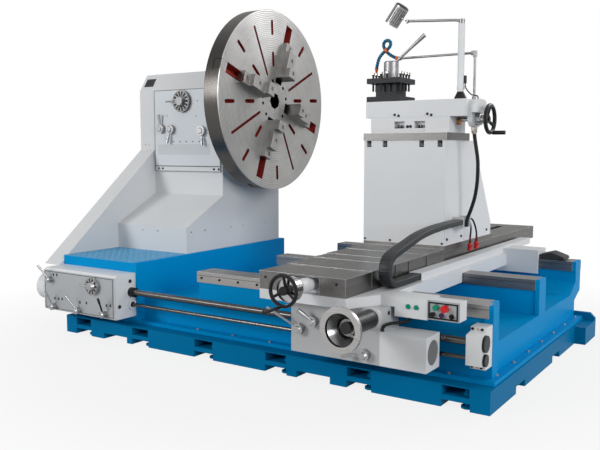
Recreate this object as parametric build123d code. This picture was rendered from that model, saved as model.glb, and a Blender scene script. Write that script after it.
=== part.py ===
from build123d import *
import math
import os

# Facing lathe, in millimetres.
# +X runs along the spindle away from the headstock, +Y to the rear, +Z up.
# The origin is the centre of the base's footprint, on the floor.

# Clearances
RUN = 0.05              # radial clearance of a running fit
SLIDE = 0.3             # gap between faces that slide on each other
LOOSE = 1.0             # gap round a shaft that only passes through
PAST = 2.0              # how far a cutting shape passes the face that it cuts

# Base frame
BASE_LENGTH = 3200.0
BASE_DEPTH = 2000.0
BASE_HEIGHT = 125.0
FOOT_HEIGHT = 40.0
POCKET_COUNT = 6
POCKET_PITCH = 566.0
POCKET_WIDTH = 150.0
POCKET_DEPTH = 130.0
POCKET_FLOOR = 28.0     # floor plate under a pocket
POCKET_ROOF = 7.0       # top plate over a pocket
NOTCH_WIDTH = 158.0
SIDE_NOTCHES = (-503.0, 225.0)
FORK_GAPS = (-1091.0, 547.0)
FORK_WIDTH = 230.0
LUG_LENGTH = 72.0
LUG_DEPTH = 300.0
REAR_PLATE = 30.0
REAR_RISE = 45.0
REAR_CHAMFER = 35.0
LEVEL_INSET = 60.0      # levelling screw from the edge of the base
LEVEL_OFFSET = 45.0     # levelling screw from the middle of its pocket
LEVEL_RADIUS = 12.0
LEVEL_PAD_RADIUS = 34.0
LEVEL_PAD = 12.0
LEVEL_NUT_RADIUS = 22.0
LEVEL_NUT = 16.0
LEVEL_STUB = 14.0       # thread standing above the nut

# Hollow castings
CAST_WALL = 40.0
BASE_CELLS = (5, 3)
BED_CELLS = (4, 3)
RISER_CELLS = (1, 3)

# Bed
BED_RIGHT = 1530.0
BED_FRONT = -850.0
BED_DEPTH = 1805.0
BED_FLANGE = 22.0
FLANGE_LIP = 60.0
BED_BLOCK = 160.0
BEAM_RISE = 151.0
BEAM_INSET = 8.0        # beam side behind the side of its way
WAY_HEIGHT = 70.0
WAY_LEFT = -460.0
WAY_OVERHANG = 10.0     # way end past the end of its beam
WAY_END = 25.0          # painted plate over the right end of a way
END_POST = 80.0         # depth of the post at the bed's front right corner
FRONT_WAY = 163.0
MIDDLE_WAY = 139.0
REAR_WAY = 145.0
MIDDLE_WAY_SETBACK = 912.0
REAR_WAY_SETBACK = 1818.0
REAR_BEAM_SLOPE = 138.0

# Headstock base and platform
RISER_LEFT = -1706.0
RISER_LENGTH = 757.0
RISER_DEPTH = 1789.0
RISER_OUTREACH = 72.0   # front of the riser ahead of the bed
RISER_HEIGHT = 426.0

# Headstock
HEADSTOCK_SETBACK = 25.0
HEADSTOCK_FRONT = -381.0
HEADSTOCK_FACE = 50.0
HEADSTOCK_REAR = 817.0
HEADSTOCK_CHAMFER = 90.0
TOE_HEIGHT = 194.0
SLOPE_HEIGHT = 222.0
FACE_HEIGHT = 853.0
CHAMFER_HEIGHT = 144.0
HEADSTOCK_WALL = 18.0
PANEL_THICKNESS = 12.0
PANEL_MARGIN = 12.0
PANEL_BOTTOM = 646.0    # above the riser
PANEL_STRIP = 44.0
GUARD_WIDTH = 164.0     # end cover on the left of the headstock
GUARD_WALL = 10.0
GUARD_FRONT = -967.0
GUARD_DROP = 72.0       # lower edge below the top of the riser
GUARD_KNEE = 781.0      # where its front edge bends, above the riser

# Spindle drive
SPINDLE_Y = 434.0
SPINDLE_HEIGHT = 1172.0
SPINDLE_RADIUS = 110.0
SPINDLE_BORE = 45.0
SPINDLE_TAIL = 40.0
NOSE_RADIUS = 190.0
NOSE_LENGTH = 80.0
BEARING_RADIUS = 165.0
BEARING_WIDTH = 68.0
BOSS_WALL = 35.0
GEAR_MODULE = 6.5
GEAR_TEETH = 60
PINION_TEETH = 20
GEAR_WIDTH = 80.0
GEAR_X = -1290.0
DRIVE_RADIUS = 35.0

# Faceplate and jaws
FACE_X = -739.0
FACEPLATE_RADIUS = 716.0
FACEPLATE_WIDTH = 139.0
FACEPLATE_BORE = 60.0
RIM_CHAMFER = 4.0
JAW_COUNT = 4
JAW_ANGLE = 19.4        # first jaw, clockwise from the top seen from the front
CHANNEL_WIDTH = 84.0
CHANNEL_DEPTH = 75.0
CHANNEL_INNER = 148.0
INNER_CHANNEL = 56.0    # width of the channel between the jaws' ends and the bore
BLOCK_GAP = 1.2         # line round a bearing block in its channel
JAW_WIDTH = 96.0
JAW_INNER = 190.0
JAW_TONGUE = 40.0
JAW_STEPS = ((75.0, 130.0), (150.0, 92.0), (70.0, 48.0))    # length and height
JAW_BOLT_RADIUS = 13.0
JAW_BOLT_SINK = 14.0
JAW_BOLT_RIM = 4.0      # gap round a sunk bolt head
JAW_SCREW_RADIUS = 14.0
JAW_SCREW_DEPTH = 58.0
JAW_BLOCK = 62.0
LONG_SLOT = (217.0, 624.0)
LONG_SLOT_WIDTH = 22.0
SHORT_SLOTS = ((272.0, 392.0), (520.0, 640.0))
SHORT_SLOT_WIDTH = 30.0
SLOT_DEPTH = 60.0
FACE_BOLT_CIRCLE = 160.0
FACE_BOLT_SPREAD = 17.0 # degrees from a long slot
FACE_BOLT_RADIUS = 13.0
FACE_BOLT_DEPTH = 20.0

# Dials and levers: place from the left and bottom of the face that carries them
PIN_RADIUS = 9.0
PIN_LENGTH = 26.0
SPEED_DIAL = (321.0, 525.0)
SPEED_DIAL_RADIUS = 88.0
SPEED_LEVERS = ((82.0, 308.0, 92.0), (193.0, 301.0, 258.0), (527.0, 284.0, 280.0))
SPEED_DIAL_WIDTH = 26.0
SPEED_DIAL_ARM = 150.0
FEED_DIAL = (533.0, 218.0)
FEED_DIAL_RADIUS = 60.0
FEED_LEVERS = ((84.0, 223.0, 117.0), (118.0, 30.0, 96.0), (376.0, 32.0, 117.0), (640.0, 36.0, 84.0))
FEED_DIAL_WIDTH = 22.0
FEED_DIAL_ARM = 105.0
# A lever: hub radius and length, arm length and radius, grip length and radius, lean out of the face
SPEED_LEVER = (38.0, 30.0, 118.0, 8.0, 55.0, 11.0, 8.0)
FEED_LEVER = (24.0, 34.0, 130.0, 6.0, 40.0, 8.0, 24.0)
APRON_LEVER = ((30.0, 32.0, 215.0, 6.0, 90.0, 8.0, 18.0), (30.0, 32.0, 100.0, 9.0, 45.0, 13.0, 28.0),
               (30.0, 32.0, 125.0, 6.0, 70.0, 11.0, 20.0))

# Feed gearbox
GEARBOX_INSET = 12.0    # left end inside the end of the riser
GEARBOX_LENGTH = 734.0
GEARBOX_DEPTH = 198.0
GEARBOX_BOTTOM = 57.0   # above the base
GEARBOX_HEIGHT = 301.0
GEARBOX_CHAMFER = 14.0
FRONT_PLATE = 12.0
FRONT_PLATE_MARGIN = 6.0
END_COVER_RADIUS = 98.0
END_COVER_LENGTH = 106.0
END_COVER_ROUND = 22.0
SLEEVE_RADIUS = 33.0
SLEEVE_LENGTH = 45.0
SEAT_DEPTH = 40.0       # screw and rod ends in their seats

# Lead screw, feed rod and end bracket
SCREW_OUTREACH = 117.0  # screw axis ahead of the bed
LEAD_SCREW_RISE = 231.0
FEED_ROD_RISE = 146.0
LEAD_SCREW_RADIUS = 20.0
THREAD_PITCH = 16.0     # the thread is drawn as rings
THREAD_DEPTH = 3.0
THREAD_RUNOUT = 105.0   # plain end of the screw before the end bracket
FEED_ROD_RADIUS = 12.0
BRACKET_LEFT = 1470.0
BRACKET_LENGTH = 82.0
BRACKET_MARGIN = 45.0   # bracket in front of the screw axis
BRACKET_BOTTOM = 88.0
BRACKET_HEIGHT = 220.0
BRACKET_PAD = 96.0      # its bolted foot in front of the bed
BRACKET_STEP = 22.0     # foot past the body, above and below
BRACKET_SLOPE = 10.0    # fall of the body's top towards the front
BRACKET_CAPS = (44.0, 32.0)
BRACKET_CAP = 14.0

# Saddle and cross way
CROSS_LEFT = 351.0
CROSS_WIDTH = 554.0
CROSS_HEIGHT = 103.0
CROSS_LENGTH = 3291.0
CROSS_RAIL = 163.0
CROSS_DECK = 30.0
CROSS_SLOT = 60.0
CROSS_SLOT_FRONT = 285.0
CROSS_SLOT_REAR = 146.0
CROSS_END = 30.0
SADDLE_PLATE = 31.7
SADDLE_LEFT_WING = 50.0
SADDLE_RIGHT_WING = 126.0
SADDLE_FRONT = -1040.0
SADDLE_REAR = 1130.0
SADDLE_NOSE = 205.0
NOSE_DROP = 55.0
RIB_DROP = 60.0
RIB_WIDTH = 46.0
RIB_GAP = 8.0
REAR_WING = 360.0
REAR_WING_HEIGHT = 67.0
REAR_WING_DROP = 105.0
REAR_LIP = 20.0
ARM_RIGHT = 1270.0
ARM_LEFT = 1001.0
ARM_DEPTH = 160.0
ARM_DROP = 105.0
ARM_LOWER_LEFT = 1084.0
BOSS_BLOCK_DEPTH = 95.0
TROUGH_GAP = 20.0
TROUGH_WIDTH = 80.0
TROUGH_FRONT = -527.0
TROUGH_LENGTH = 2145.0
TROUGH_HEIGHT = 46.0
TROUGH_WALL = 4.0

# Cross feed
CROSS_SCREW_OFFSET = 40.0
CROSS_SCREW_RISE = 53.0
CROSS_SCREW_RADIUS = 18.0
CROSS_BOSS_RADIUS = 39.0
CROSS_BOSS_TIP = 37.0
CROSS_BOSS_LENGTH = 160.0
CROSS_BOSS_SETBACK = 75.0   # root of the boss behind the front of the cross way
BOSS_NOTCH = 120.0      # length of the higher space over the boss
BOSS_ROOF = 10.0        # thickness of the deck there
CROSS_WHEEL_GAP = 140.0
RIM_SIDES = 10
DRUM_RADIUS = 66.0      # graduated drum behind the cross handwheel
DRUM_LENGTH = 55.0
DRUM_GAP = 30.0
DRUM_GROOVE = 3.0
# A handwheel: radius, rim radius, hub radius and length, dish, crank length and radius
CROSS_WHEEL = (80.0, 10.0, 24.0, 60.0, 26.0, 170.0, 9.0)
COMPOUND_WHEEL = (88.0, 13.0, 26.0, 36.0, 24.0, 101.0, 13.0)
SPOKE_SHARE = 0.8       # spoke to rim
COVER_SHEET = 3.5
COVER_GAP = 0.5
COVER_SKIRT = 15.0      # lower edge of a skirt above the saddle
COVER_FRONTS = (-965.0, -680.0, -513.0, -263.0)
COVER_LENGTHS = (390.0, 275.0, 355.0)

# Apron
APRON_LEFT = 506.0
APRON_LENGTH = 553.0
APRON_FRONT = -1160.0
APRON_DEPTH = 220.0
APRON_HEIGHT = 295.0
APRON_STEP = 105.0      # top of the apron's rear part below its front part
APRON_WHEEL = (508.0, 249.0)
APRON_RING = (84.0, 115.0)  # inner and outer radius of the broad rim
APRON_RING_WIDTH = 20.0
APRON_BOWL = 62.0       # depth of the bowl inside the rim
APRON_BOWL_WALL = 7.0
APRON_DRUM = 50.0       # radius of the drum behind the bowl
APRON_REACH = 331.0     # front of the rim ahead of the apron
APRON_NUT = (30.0, 18.0)
APRON_COLLAR = 62.0
APRON_COLLAR_WIDTH = 18.0
APRON_COLLAR_TAPER = 8.0
APRON_HANDLE = (58.0, 118.0, 7.0)   # folded handle: from, to, radius
APRON_HANDLE_ANGLE = -14.0
APRON_LEVERS = ((62.0, 135.0, 146.0), (150.0, 187.0, 135.0), (474.0, 49.0, 185.0))
MOTOR_LENGTH = 263.0
MOTOR_DEPTH = 165.0
MOTOR_HEIGHT = 183.0
GRILLE_RADIUS = 66.0
GRILLE_DEPTH = 5.0
VENT_RADIUS = 5.0
VENT_PITCH = 22.0
MOTOR_CABLE_RADIUS = 8.0
CABLE_LEVEL = 0.6       # height of the cable between the motor cover and the arm

# Control box
BOX_LENGTH = 174.0
BOX_DEPTH = 100.0
BOX_HEIGHT = 100.0
BOX_DROP = 98.0         # lower edge below the top of the saddle
BOX_FRAME = 4.0
BOX_BORDER = 7.0
BUTTON_STEM = 8.0
BUTTON_STEM_LENGTH = 18.0
BUTTON_TRAVEL = 5.0
BUTTONS = {
    "start_button": (50.0, 67.0, 15.0, 12.0),
    "stop_button": (101.0, 66.0, 18.5, 22.0),
    "jog_button": (33.0, 29.0, 13.0, 10.0),
    "reset_button": (82.0, 30.0, 13.0, 10.0),
}
SELECTOR = (135.0, 29.0, 13.0, 10.0)
SELECTOR_BAR = 10.0
SIGNAL_LAMPS = ((1163.0, 515.0), (1209.0, 515.0))
SIGNAL_RADIUS = 12.0
SIGNAL_HEIGHT = 7.0

# Cross slide, pedestal and top plate
SLIDE_SIDE = 28.0       # slide plate past the cross way's left side
SLIDE_WIDTH = 598.0
SLIDE_FRONT = 5.0
SLIDE_LENGTH = 933.0
SLIDE_PLATE = 40.0
CROSS_NUT = 100.0
CROSS_NUT_SETBACK = 295.0
CROSS_NUT_SIDE = 6.0    # nut clear of the slot
PEDESTAL_HEIGHT = 689.0
PEDESTAL_TOP_DEPTH = 507.0
PEDESTAL_FOOT_DEPTH = 880.0
PEDESTAL_TOE = 90.0
PEDESTAL_WALL = 25.0
TOP_PLATE = 50.0
TOP_PLATE_LIP = 5.0
TOP_PLATE_DEPTH = 404.0
PLATE_BOLTS = (37.0, 158.0, 426.0, 555.0)   # from the left of the pedestal
PLATE_BOLT_SETBACK = 18.0
PLATE_BOLT_RADIUS = 8.0
PLATE_BOLT_LENGTH = 36.0
PLATE_NUT = (15.0, 12.0)
BOLT_POCKET = (36.0, 44.0)  # width and height of the pocket round a bolt
BRACKET_ARM = 78.0      # cable bracket on the side of the pedestal
BRACKET_ARM_DEPTH = 130.0
BRACKET_ARM_HEIGHT = 78.0
BRACKET_ARM_RISE = 105.0
BRACKET_ARM_SETBACK = 130.0
BRACKET_ARM_PLATE = 6.0

# Compound base and slide
COMPOUND_LEFT = 355.0
COMPOUND_LENGTH = 573.0
COMPOUND_FRONT = 40.0
COMPOUND_DEPTH = 272.0
COMPOUND_HEIGHT = 103.0
DOVETAIL_HEIGHT = 38.0
DOVETAIL_TOP = 150.0
DOVETAIL_ROOT = 112.0
SCREW_CHANNEL = 70.0
SCREW_CHANNEL_DEPTH = 48.0
COMPOUND_SCREW_DROP = 18.0
COMPOUND_SCREW_RADIUS = 14.0
COMPOUND_SCREW_LENGTH = 500.0
NUT_LENGTH = 60.0
NUT_PROUD = 24.0
NUT_RADIUS = 25.0
WINDOWS = ((175.0, 78.0), (324.0, 78.0))
WINDOW_RISE = 30.0
WINDOW_HEIGHT = 46.0
WINDOW_DEPTH = 34.0
BASE_FOOT_LENGTH = 170.0    # sloping foot at the front right
BASE_FOOT_HEIGHT = 26.0
BASE_FOOT_REACH = 10.0
TOP_SLIDE_OVERHANG = 39.0
TOP_SLIDE_LENGTH = 715.0
TOP_SLIDE_HEIGHT = 110.0
END_BRACKET = 62.0
END_BRACKET_WIDTH = 190.0
END_BRACKET_DROP = 68.0
END_BRACKET_ROUND = 60.0
END_BRACKET_PLATE = 26.0    # thickness below the collar
COLLAR_SIZE = (40.0, 33.0)  # graduated collar: radius and width
SLEEVE_SIZE = (30.0, 40.0)  # bright sleeve next to it
COMPOUND_WHEEL_GAP = 55.0

# Tool post
POST_X = 436.0
POST_PLATE = 248.0
POST_BASE = 36.0
POST_BLOCK = 155.0
POST_SLOT = 89.0
POST_TOP = 35.0
POST_STUD = 22.0
POST_SCREW_RADIUS = 7.0
POST_SCREW_HEAD = 15.0
POST_SCREW_HEAD_HEIGHT = 22.0
POST_SCREW_ABOVE = 22.0
POST_SCREW_BELOW = 50.0
POST_SCREW_PITCH = 44.0
POST_SIDE_SCREWS = 4    # along the left and right sides
POST_END_SCREWS = 2     # along the front and rear sides
POST_SCREW_EDGE = 20.0
CAP_RADIUS = 51.0
CAP_HEIGHT = 122.0
CAP_ROUND = 8.0
POST_LEVER_ANGLE = 38.3
POST_LEVER = 150.0
POST_LEVER_RADIUS = 9.0
POST_GRIP = 150.0
POST_GRIP_RADIUS = 15.0

# Lamp
LAMP_X = 934.0
LAMP_SETBACK = 160.0
LAMP_FOOT_RADIUS = 40.0
LAMP_FOOT = 55.0
POLE_RADIUS = 22.0
POLE_HEIGHT = 495.0
SPIGOT_RADIUS = 12.0
SPIGOT = 30.0
POLE_RING = (70.0, 92.0, 25.0)  # collar low on the pole: from, to, radius
LAMP_SWITCH = (18.0, 24.0, 50.0)
LAMP_SWITCH_RISE = 134.0
COLLAR_RADIUS = 20.0
LAMP_ARM_RISE = 27.0
LAMP_ARM_CLIMB = 26.0   # its end above its elbow
LAMP_ARM_ELBOW = 40.0
LAMP_ARM = 396.0
LAMP_ARM_RADIUS = 9.0
EYE_RADIUS = 15.0
EYE_WIDTH = 10.0
EYE_PIN = 5.0
LAMP_HEAD_RADIUS = 50.0
LAMP_HEAD = 140.0
LAMP_HEAD_DROP = 80.0   # its lens below the eye
LAMP_TILT = 36.5
LAMP_HEAD_OFFSET = 87.0
LAMP_FLUTES = 20
LAMP_FLUTE_RADIUS = 4.0
LAMP_FLUTE_MARGIN = 14.0
LAMP_LENS = 8.0

# Coolant pipe and hose
PIPE_X = 1012.0
PIPE_SETBACK = 205.0
PIPE_RADIUS = 8.0
PIPE_HEIGHT = 307.0
PIPE_REACH = 560.0
FITTING_RADIUS = 14.0
FITTING = 26.0
HOSE_RADIUS = 12.5
HOSE_VALLEY = 9.5
HOSE_BORE = 5.0
HOSE_RIBS = 26

# Cables
CABLE_RADIUS = 12.0
LAMP_CABLE_RADIUS = 4.0
LEAD_RADIUS = 6.0
CABLE_SEAT = 0.74       # where the cable stands on its bracket
PLUG_RADIUS = 17.0
PLUG_LENGTH = 72.0
DUCT_WIDTH = 70.0
DUCT_THICKNESS = 36.0
DUCT_RISE = 44.0        # middle of its end above the bracket's lower edge
DUCT_ARCH = 4700.0      # radius of the upper run
DUCT_SWEEP = 12.1       # slope at the end of the upper run, in degrees
DUCT_RETURN = 320.0

ON_FLOOR = (Align.CENTER, Align.CENTER, Align.MIN)

# Heights that stack up from the floor
flange_top = BASE_HEIGHT + BED_FLANGE
block_top = flange_top + BED_BLOCK
beam_top = block_top + BEAM_RISE
way_top = beam_top + WAY_HEIGHT
riser_top = BASE_HEIGHT + RISER_HEIGHT
toe_top = riser_top + TOE_HEIGHT
slope_top = toe_top + SLOPE_HEIGHT
face_top = slope_top + FACE_HEIGHT
headstock_top = face_top + CHAMFER_HEIGHT
spindle_z = riser_top + SPINDLE_HEIGHT
lead_screw_z = BASE_HEIGHT + LEAD_SCREW_RISE
feed_rod_z = BASE_HEIGHT + FEED_ROD_RISE
saddle_bottom = way_top + SLIDE
saddle_top = saddle_bottom + SADDLE_PLATE
cross_top = saddle_top + CROSS_HEIGHT
cross_screw_z = saddle_top + CROSS_SCREW_RISE
slide_bottom = cross_top + SLIDE
slide_top = slide_bottom + SLIDE_PLATE
pedestal_top = slide_top + PEDESTAL_HEIGHT
plate_top = pedestal_top + TOP_PLATE
compound_top = plate_top + COMPOUND_HEIGHT
compound_screw_z = compound_top - COMPOUND_SCREW_DROP
top_slide_bottom = compound_top + SLIDE
top_slide_top = top_slide_bottom + TOP_SLIDE_HEIGHT
post_bottom = top_slide_top + SLIDE
post_slot_bottom = post_bottom + POST_BASE
post_slot_top = post_slot_bottom + POST_SLOT
post_top = post_slot_top + POST_TOP

# Places along the machine
riser_right = RISER_LEFT + RISER_LENGTH
riser_front = BED_FRONT - RISER_OUTREACH
headstock_right = riser_right - HEADSTOCK_SETBACK
bed_rear = BED_FRONT + BED_DEPTH
way_fronts = (BED_FRONT, BED_FRONT + MIDDLE_WAY_SETBACK, BED_FRONT + REAR_WAY_SETBACK)
way_widths = (FRONT_WAY, MIDDLE_WAY, REAR_WAY)
way_spans = [(y, y + w) for y, w in zip(way_fronts, way_widths)]
tail_rear = BED_FRONT + END_POST - BEAM_INSET
panel_left = RISER_LEFT + PANEL_MARGIN
panel_bottom = riser_top + PANEL_BOTTOM
panel_y = HEADSTOCK_FACE - PANEL_THICKNESS
face_back = FACE_X - FACEPLATE_WIDTH
gear_distance = GEAR_MODULE * (GEAR_TEETH + PINION_TEETH) / 2
gearbox_left = RISER_LEFT + GEARBOX_INSET
gearbox_right = gearbox_left + GEARBOX_LENGTH
gearbox_front = riser_front - GEARBOX_DEPTH
gearbox_bottom = BASE_HEIGHT + GEARBOX_BOTTOM
plate_left = gearbox_left + FRONT_PLATE_MARGIN
plate_bottom = gearbox_bottom + FRONT_PLATE_MARGIN
screw_y = BED_FRONT - SCREW_OUTREACH
bracket_right = BRACKET_LEFT + BRACKET_LENGTH
cross_right = CROSS_LEFT + CROSS_WIDTH
cross_middle = CROSS_LEFT + CROSS_WIDTH / 2
cross_screw_x = cross_middle + CROSS_SCREW_OFFSET
saddle_right = cross_right + SADDLE_RIGHT_WING
saddle_nose = SADDLE_FRONT - SADDLE_NOSE
cross_rear = saddle_nose + CROSS_LENGTH
boss_root = saddle_nose + CROSS_BOSS_SETBACK
boss_tip = boss_root - CROSS_BOSS_LENGTH
cross_wheel_y = boss_tip - CROSS_WHEEL_GAP
trough_left = cross_right + TROUGH_GAP
apron_top = saddle_top - NOSE_DROP
apron_bottom = apron_top - APRON_HEIGHT
apron_right = APRON_LEFT + APRON_LENGTH
apron_rear = APRON_FRONT + APRON_DEPTH
apron_collar_end = APRON_COLLAR_WIDTH + APRON_COLLAR_TAPER
apron_wheel_x = APRON_LEFT + APRON_WHEEL[0]
apron_wheel_z = apron_bottom + APRON_WHEEL[1]
box_right = ARM_RIGHT + BOX_LENGTH
box_bottom = saddle_top - BOX_DROP
slide_left = CROSS_LEFT - SLIDE_SIDE
slide_right = slide_left + SLIDE_WIDTH
slide_rear = SLIDE_FRONT + SLIDE_LENGTH
compound_right = COMPOUND_LEFT + COMPOUND_LENGTH
compound_rear = COMPOUND_FRONT + COMPOUND_DEPTH
compound_y = COMPOUND_FRONT + COMPOUND_DEPTH / 2
arm_front = SLIDE_FRONT + BRACKET_ARM_SETBACK
arm_rear = arm_front + BRACKET_ARM_DEPTH
arm_bottom = slide_top + BRACKET_ARM_RISE
top_slide_left = COMPOUND_LEFT - TOP_SLIDE_OVERHANG
top_slide_right = top_slide_left + TOP_SLIDE_LENGTH
end_bracket_right = top_slide_right + END_BRACKET
compound_wheel_x = end_bracket_right + COMPOUND_WHEEL_GAP
lamp_y = COMPOUND_FRONT + LAMP_SETBACK
pole_top = top_slide_top + POLE_HEIGHT
lamp_arm_z = pole_top + LAMP_ARM_RISE
eye_x = LAMP_X - LAMP_ARM
eye_z = lamp_arm_z + LAMP_ARM_CLIMB
switch_z = top_slide_top + LAMP_SWITCH_RISE
pipe_y = COMPOUND_FRONT + PIPE_SETBACK
pipe_z = top_slide_top + PIPE_HEIGHT
pipe_end_x = PIPE_X - PIPE_REACH


def block(x0, x1, y0, y1, z0, z1):
    """Box between two corners."""
    return Pos((x0 + x1) / 2, (y0 + y1) / 2, (z0 + z1) / 2) * Box(x1 - x0, y1 - y0, z1 - z0)


def rod_x(radius, x0, x1, y, z):
    return Pos((x0 + x1) / 2, y, z) * Rot(0, 90, 0) * Cylinder(radius, x1 - x0)


def rod_y(radius, y0, y1, x, z):
    return Pos(x, (y0 + y1) / 2, z) * Rot(90, 0, 0) * Cylinder(radius, y1 - y0)


def rod_z(radius, z0, z1, x, y):
    return Pos(x, y, (z0 + z1) / 2) * Cylinder(radius, z1 - z0)


def slab_x(points, x0, x1):
    """Outline of (y, z) points, drawn out along X."""
    return extrude(Plane.YZ.offset(x0) * make_face(Polyline(*points, close=True)), x1 - x0)


def slab_y(points, y0, y1):
    """Outline of (x, z) points, drawn out along Y."""
    return extrude(Plane.XZ.offset(-y1) * make_face(Polyline(*points, close=True)), y1 - y0)


def slab_z(points, z0, z1):
    """Outline of (x, y) points, drawn out along Z."""
    return extrude(Plane.XY.offset(z0) * make_face(Polyline(*points, close=True)), z1 - z0)


def turned(points, place):
    """Turned piece: (along, radius) points about the local X axis."""
    outline = [(points[0][0], 0), *points, (points[-1][0], 0)]
    return place * revolve(make_face(Polyline(*outline, close=True)), Axis.X)


def front_place(x, y, z):
    """Local frame on a face that looks to the front: X right, Y up, Z out of the face."""
    return Plane(origin=(x, y, z), x_dir=(1, 0, 0), z_dir=(0, -1, 0))


def tube(points, radius):
    """Round cable along straight runs, with bends as wide as the runs allow."""
    corners = [Vector(*p) for p in points]
    radii = []
    for before, here, after in zip(corners, corners[1:], corners[2:]):
        run = min((here - before).length, (after - here).length)
        turn = math.radians((here - before).get_angle(after - here))
        radii.append(0.45 * run / math.tan(turn / 2))
    path = FilletPolyline(*points, radius=radii)
    section = Plane(origin=path @ 0, z_dir=path % 0) * Circle(radius)
    solid = sweep(section, path=path)
    print("bend radii", [round(r) for r in radii], "volume share",
          round(solid.volume / (math.pi * radius ** 2 * path.length), 4))
    return solid


def cells(x0, x1, y0, y1, z0, z1, counts):
    """Hollow cells of a casting, with ribs between them."""
    along, across = counts
    step_x = (x1 - x0 - CAST_WALL) / along
    step_y = (y1 - y0 - CAST_WALL) / across
    return [block(x0 + i * step_x + CAST_WALL, x0 + (i + 1) * step_x,
                  y0 + j * step_y + CAST_WALL, y0 + (j + 1) * step_y, z0, z1)
            for i in range(along) for j in range(across)]


def pocket_centres():
    return [(i - (POCKET_COUNT - 1) / 2) * POCKET_PITCH for i in range(POCKET_COUNT)]


def base_frame():
    half_x = BASE_LENGTH / 2
    half_y = BASE_DEPTH / 2
    lug_x = half_x + LUG_LENGTH
    rear_top = BASE_HEIGHT + REAR_RISE
    frame = block(-half_x, half_x, -half_y, half_y, 0, BASE_HEIGHT)
    frame += block(-lug_x, lug_x, half_y - LUG_DEPTH, half_y, 0, BASE_HEIGHT - POCKET_ROOF)
    outline = [(-lug_x, 0), (lug_x, 0), (lug_x, rear_top - REAR_CHAMFER), (lug_x - REAR_CHAMFER, rear_top),
               (REAR_CHAMFER - lug_x, rear_top), (-lug_x, rear_top - REAR_CHAMFER)]
    frame += slab_y(outline, half_y - REAR_PLATE, half_y)
    channels = [(x, NOTCH_WIDTH) for x in pocket_centres()] + [(x, FORK_WIDTH) for x in FORK_GAPS]
    for x, width in channels:
        frame -= block(x - width / 2, x + width / 2, -half_y - PAST, half_y + PAST, -PAST, FOOT_HEIGHT)
    for y in SIDE_NOTCHES:
        frame -= block(-lug_x, lug_x, y - NOTCH_WIDTH / 2, y + NOTCH_WIDTH / 2, -PAST, FOOT_HEIGHT)
    pocket_floor = FOOT_HEIGHT + POCKET_FLOOR
    for x in pocket_centres():
        for side in (-1, 1):
            y0, y1 = sorted((side * (half_y + PAST), side * (half_y - POCKET_DEPTH)))
            frame -= block(x - POCKET_WIDTH / 2, x + POCKET_WIDTH / 2, y0, y1,
                           pocket_floor, BASE_HEIGHT - POCKET_ROOF)
            frame -= rod_z(LEVEL_RADIUS + RUN, FOOT_HEIGHT - PAST, pocket_floor + PAST,
                           x + LEVEL_OFFSET, side * (half_y - LEVEL_INSET))
    inner_y = half_y - POCKET_DEPTH
    for cell in cells(-half_x, half_x, -inner_y, inner_y, pocket_floor, BASE_HEIGHT + PAST, BASE_CELLS):
        frame -= cell
    return [frame] + levelling_screws(pocket_floor, half_y)


def levelling_screws(pocket_floor, half_y):
    """Screw with its pad on the floor and its nut in the pocket."""
    screw = Cylinder(LEVEL_PAD_RADIUS, LEVEL_PAD, align=ON_FLOOR)
    screw += Cylinder(LEVEL_RADIUS, pocket_floor + LEVEL_NUT + LEVEL_STUB, align=ON_FLOOR)
    nut = extrude(Plane.XY.offset(pocket_floor) * RegularPolygon(LEVEL_NUT_RADIUS, 6), LEVEL_NUT)
    screw += nut
    return [Pos(x + LEVEL_OFFSET, side * (half_y - LEVEL_INSET), 0) * screw
            for x in pocket_centres() for side in (-1, 1)]


def bed_casting():
    flange = block(-BASE_LENGTH / 2 + BEAM_INSET, BED_RIGHT + FLANGE_LIP, BED_FRONT - FLANGE_LIP, bed_rear,
                   BASE_HEIGHT, flange_top)
    casting = flange + block(riser_right, BED_RIGHT, BED_FRONT, bed_rear, flange_top, block_top)
    beam_left = WAY_LEFT + WAY_OVERHANG
    for y0, y1 in way_spans[:2]:
        casting += block(beam_left, BED_RIGHT, y0 + BEAM_INSET, y1 - BEAM_INSET, block_top - PAST, beam_top)
    y0 = way_spans[2][0] + BEAM_INSET
    y1 = way_spans[2][1] - BEAM_INSET
    rear_beam = [(bed_rear - REAR_BEAM_SLOPE, block_top - PAST), (y0, beam_top - BEAM_RISE / 2),
                 (y0, beam_top), (y1, beam_top), (y1, block_top), (bed_rear, block_top - BED_BLOCK / 3)]
    casting += slab_x(rear_beam, beam_left, BED_RIGHT)
    for (y0, y1), low in zip(way_spans, (block_top, block_top, beam_top)):
        casting += block(BED_RIGHT - WAY_END, BED_RIGHT, y0, y1, low - PAST, way_top)
    casting -= block(BED_RIGHT - WAY_END - PAST, BED_RIGHT, BED_FRONT - PAST, tail_rear,
                     beam_top, way_top + PAST)
    casting += block(BED_RIGHT, BED_RIGHT + WAY_END, BED_FRONT, BED_FRONT + END_POST, flange_top, way_top)
    casting += block(RISER_LEFT, riser_right, riser_front, riser_front + RISER_DEPTH, flange_top, riser_top)
    low = BASE_HEIGHT - PAST
    hollows = cells(riser_right, BED_RIGHT, BED_FRONT, bed_rear, low, block_top - CAST_WALL, BED_CELLS)
    hollows += cells(-BASE_LENGTH / 2, riser_right, BED_FRONT, riser_front + RISER_DEPTH, low,
                     riser_top - CAST_WALL, RISER_CELLS)
    for hollow in hollows:
        casting -= hollow
    return casting


def bed_ways():
    """Three steel bars on the beams; the front one runs on to the corner post."""
    right = BED_RIGHT - WAY_END
    bars = [block(WAY_LEFT, right, y0, y1, beam_top, way_top) for y0, y1 in way_spans]
    bars[0] += block(right, BED_RIGHT, BED_FRONT, tail_rear, beam_top, way_top)
    return bars


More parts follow.
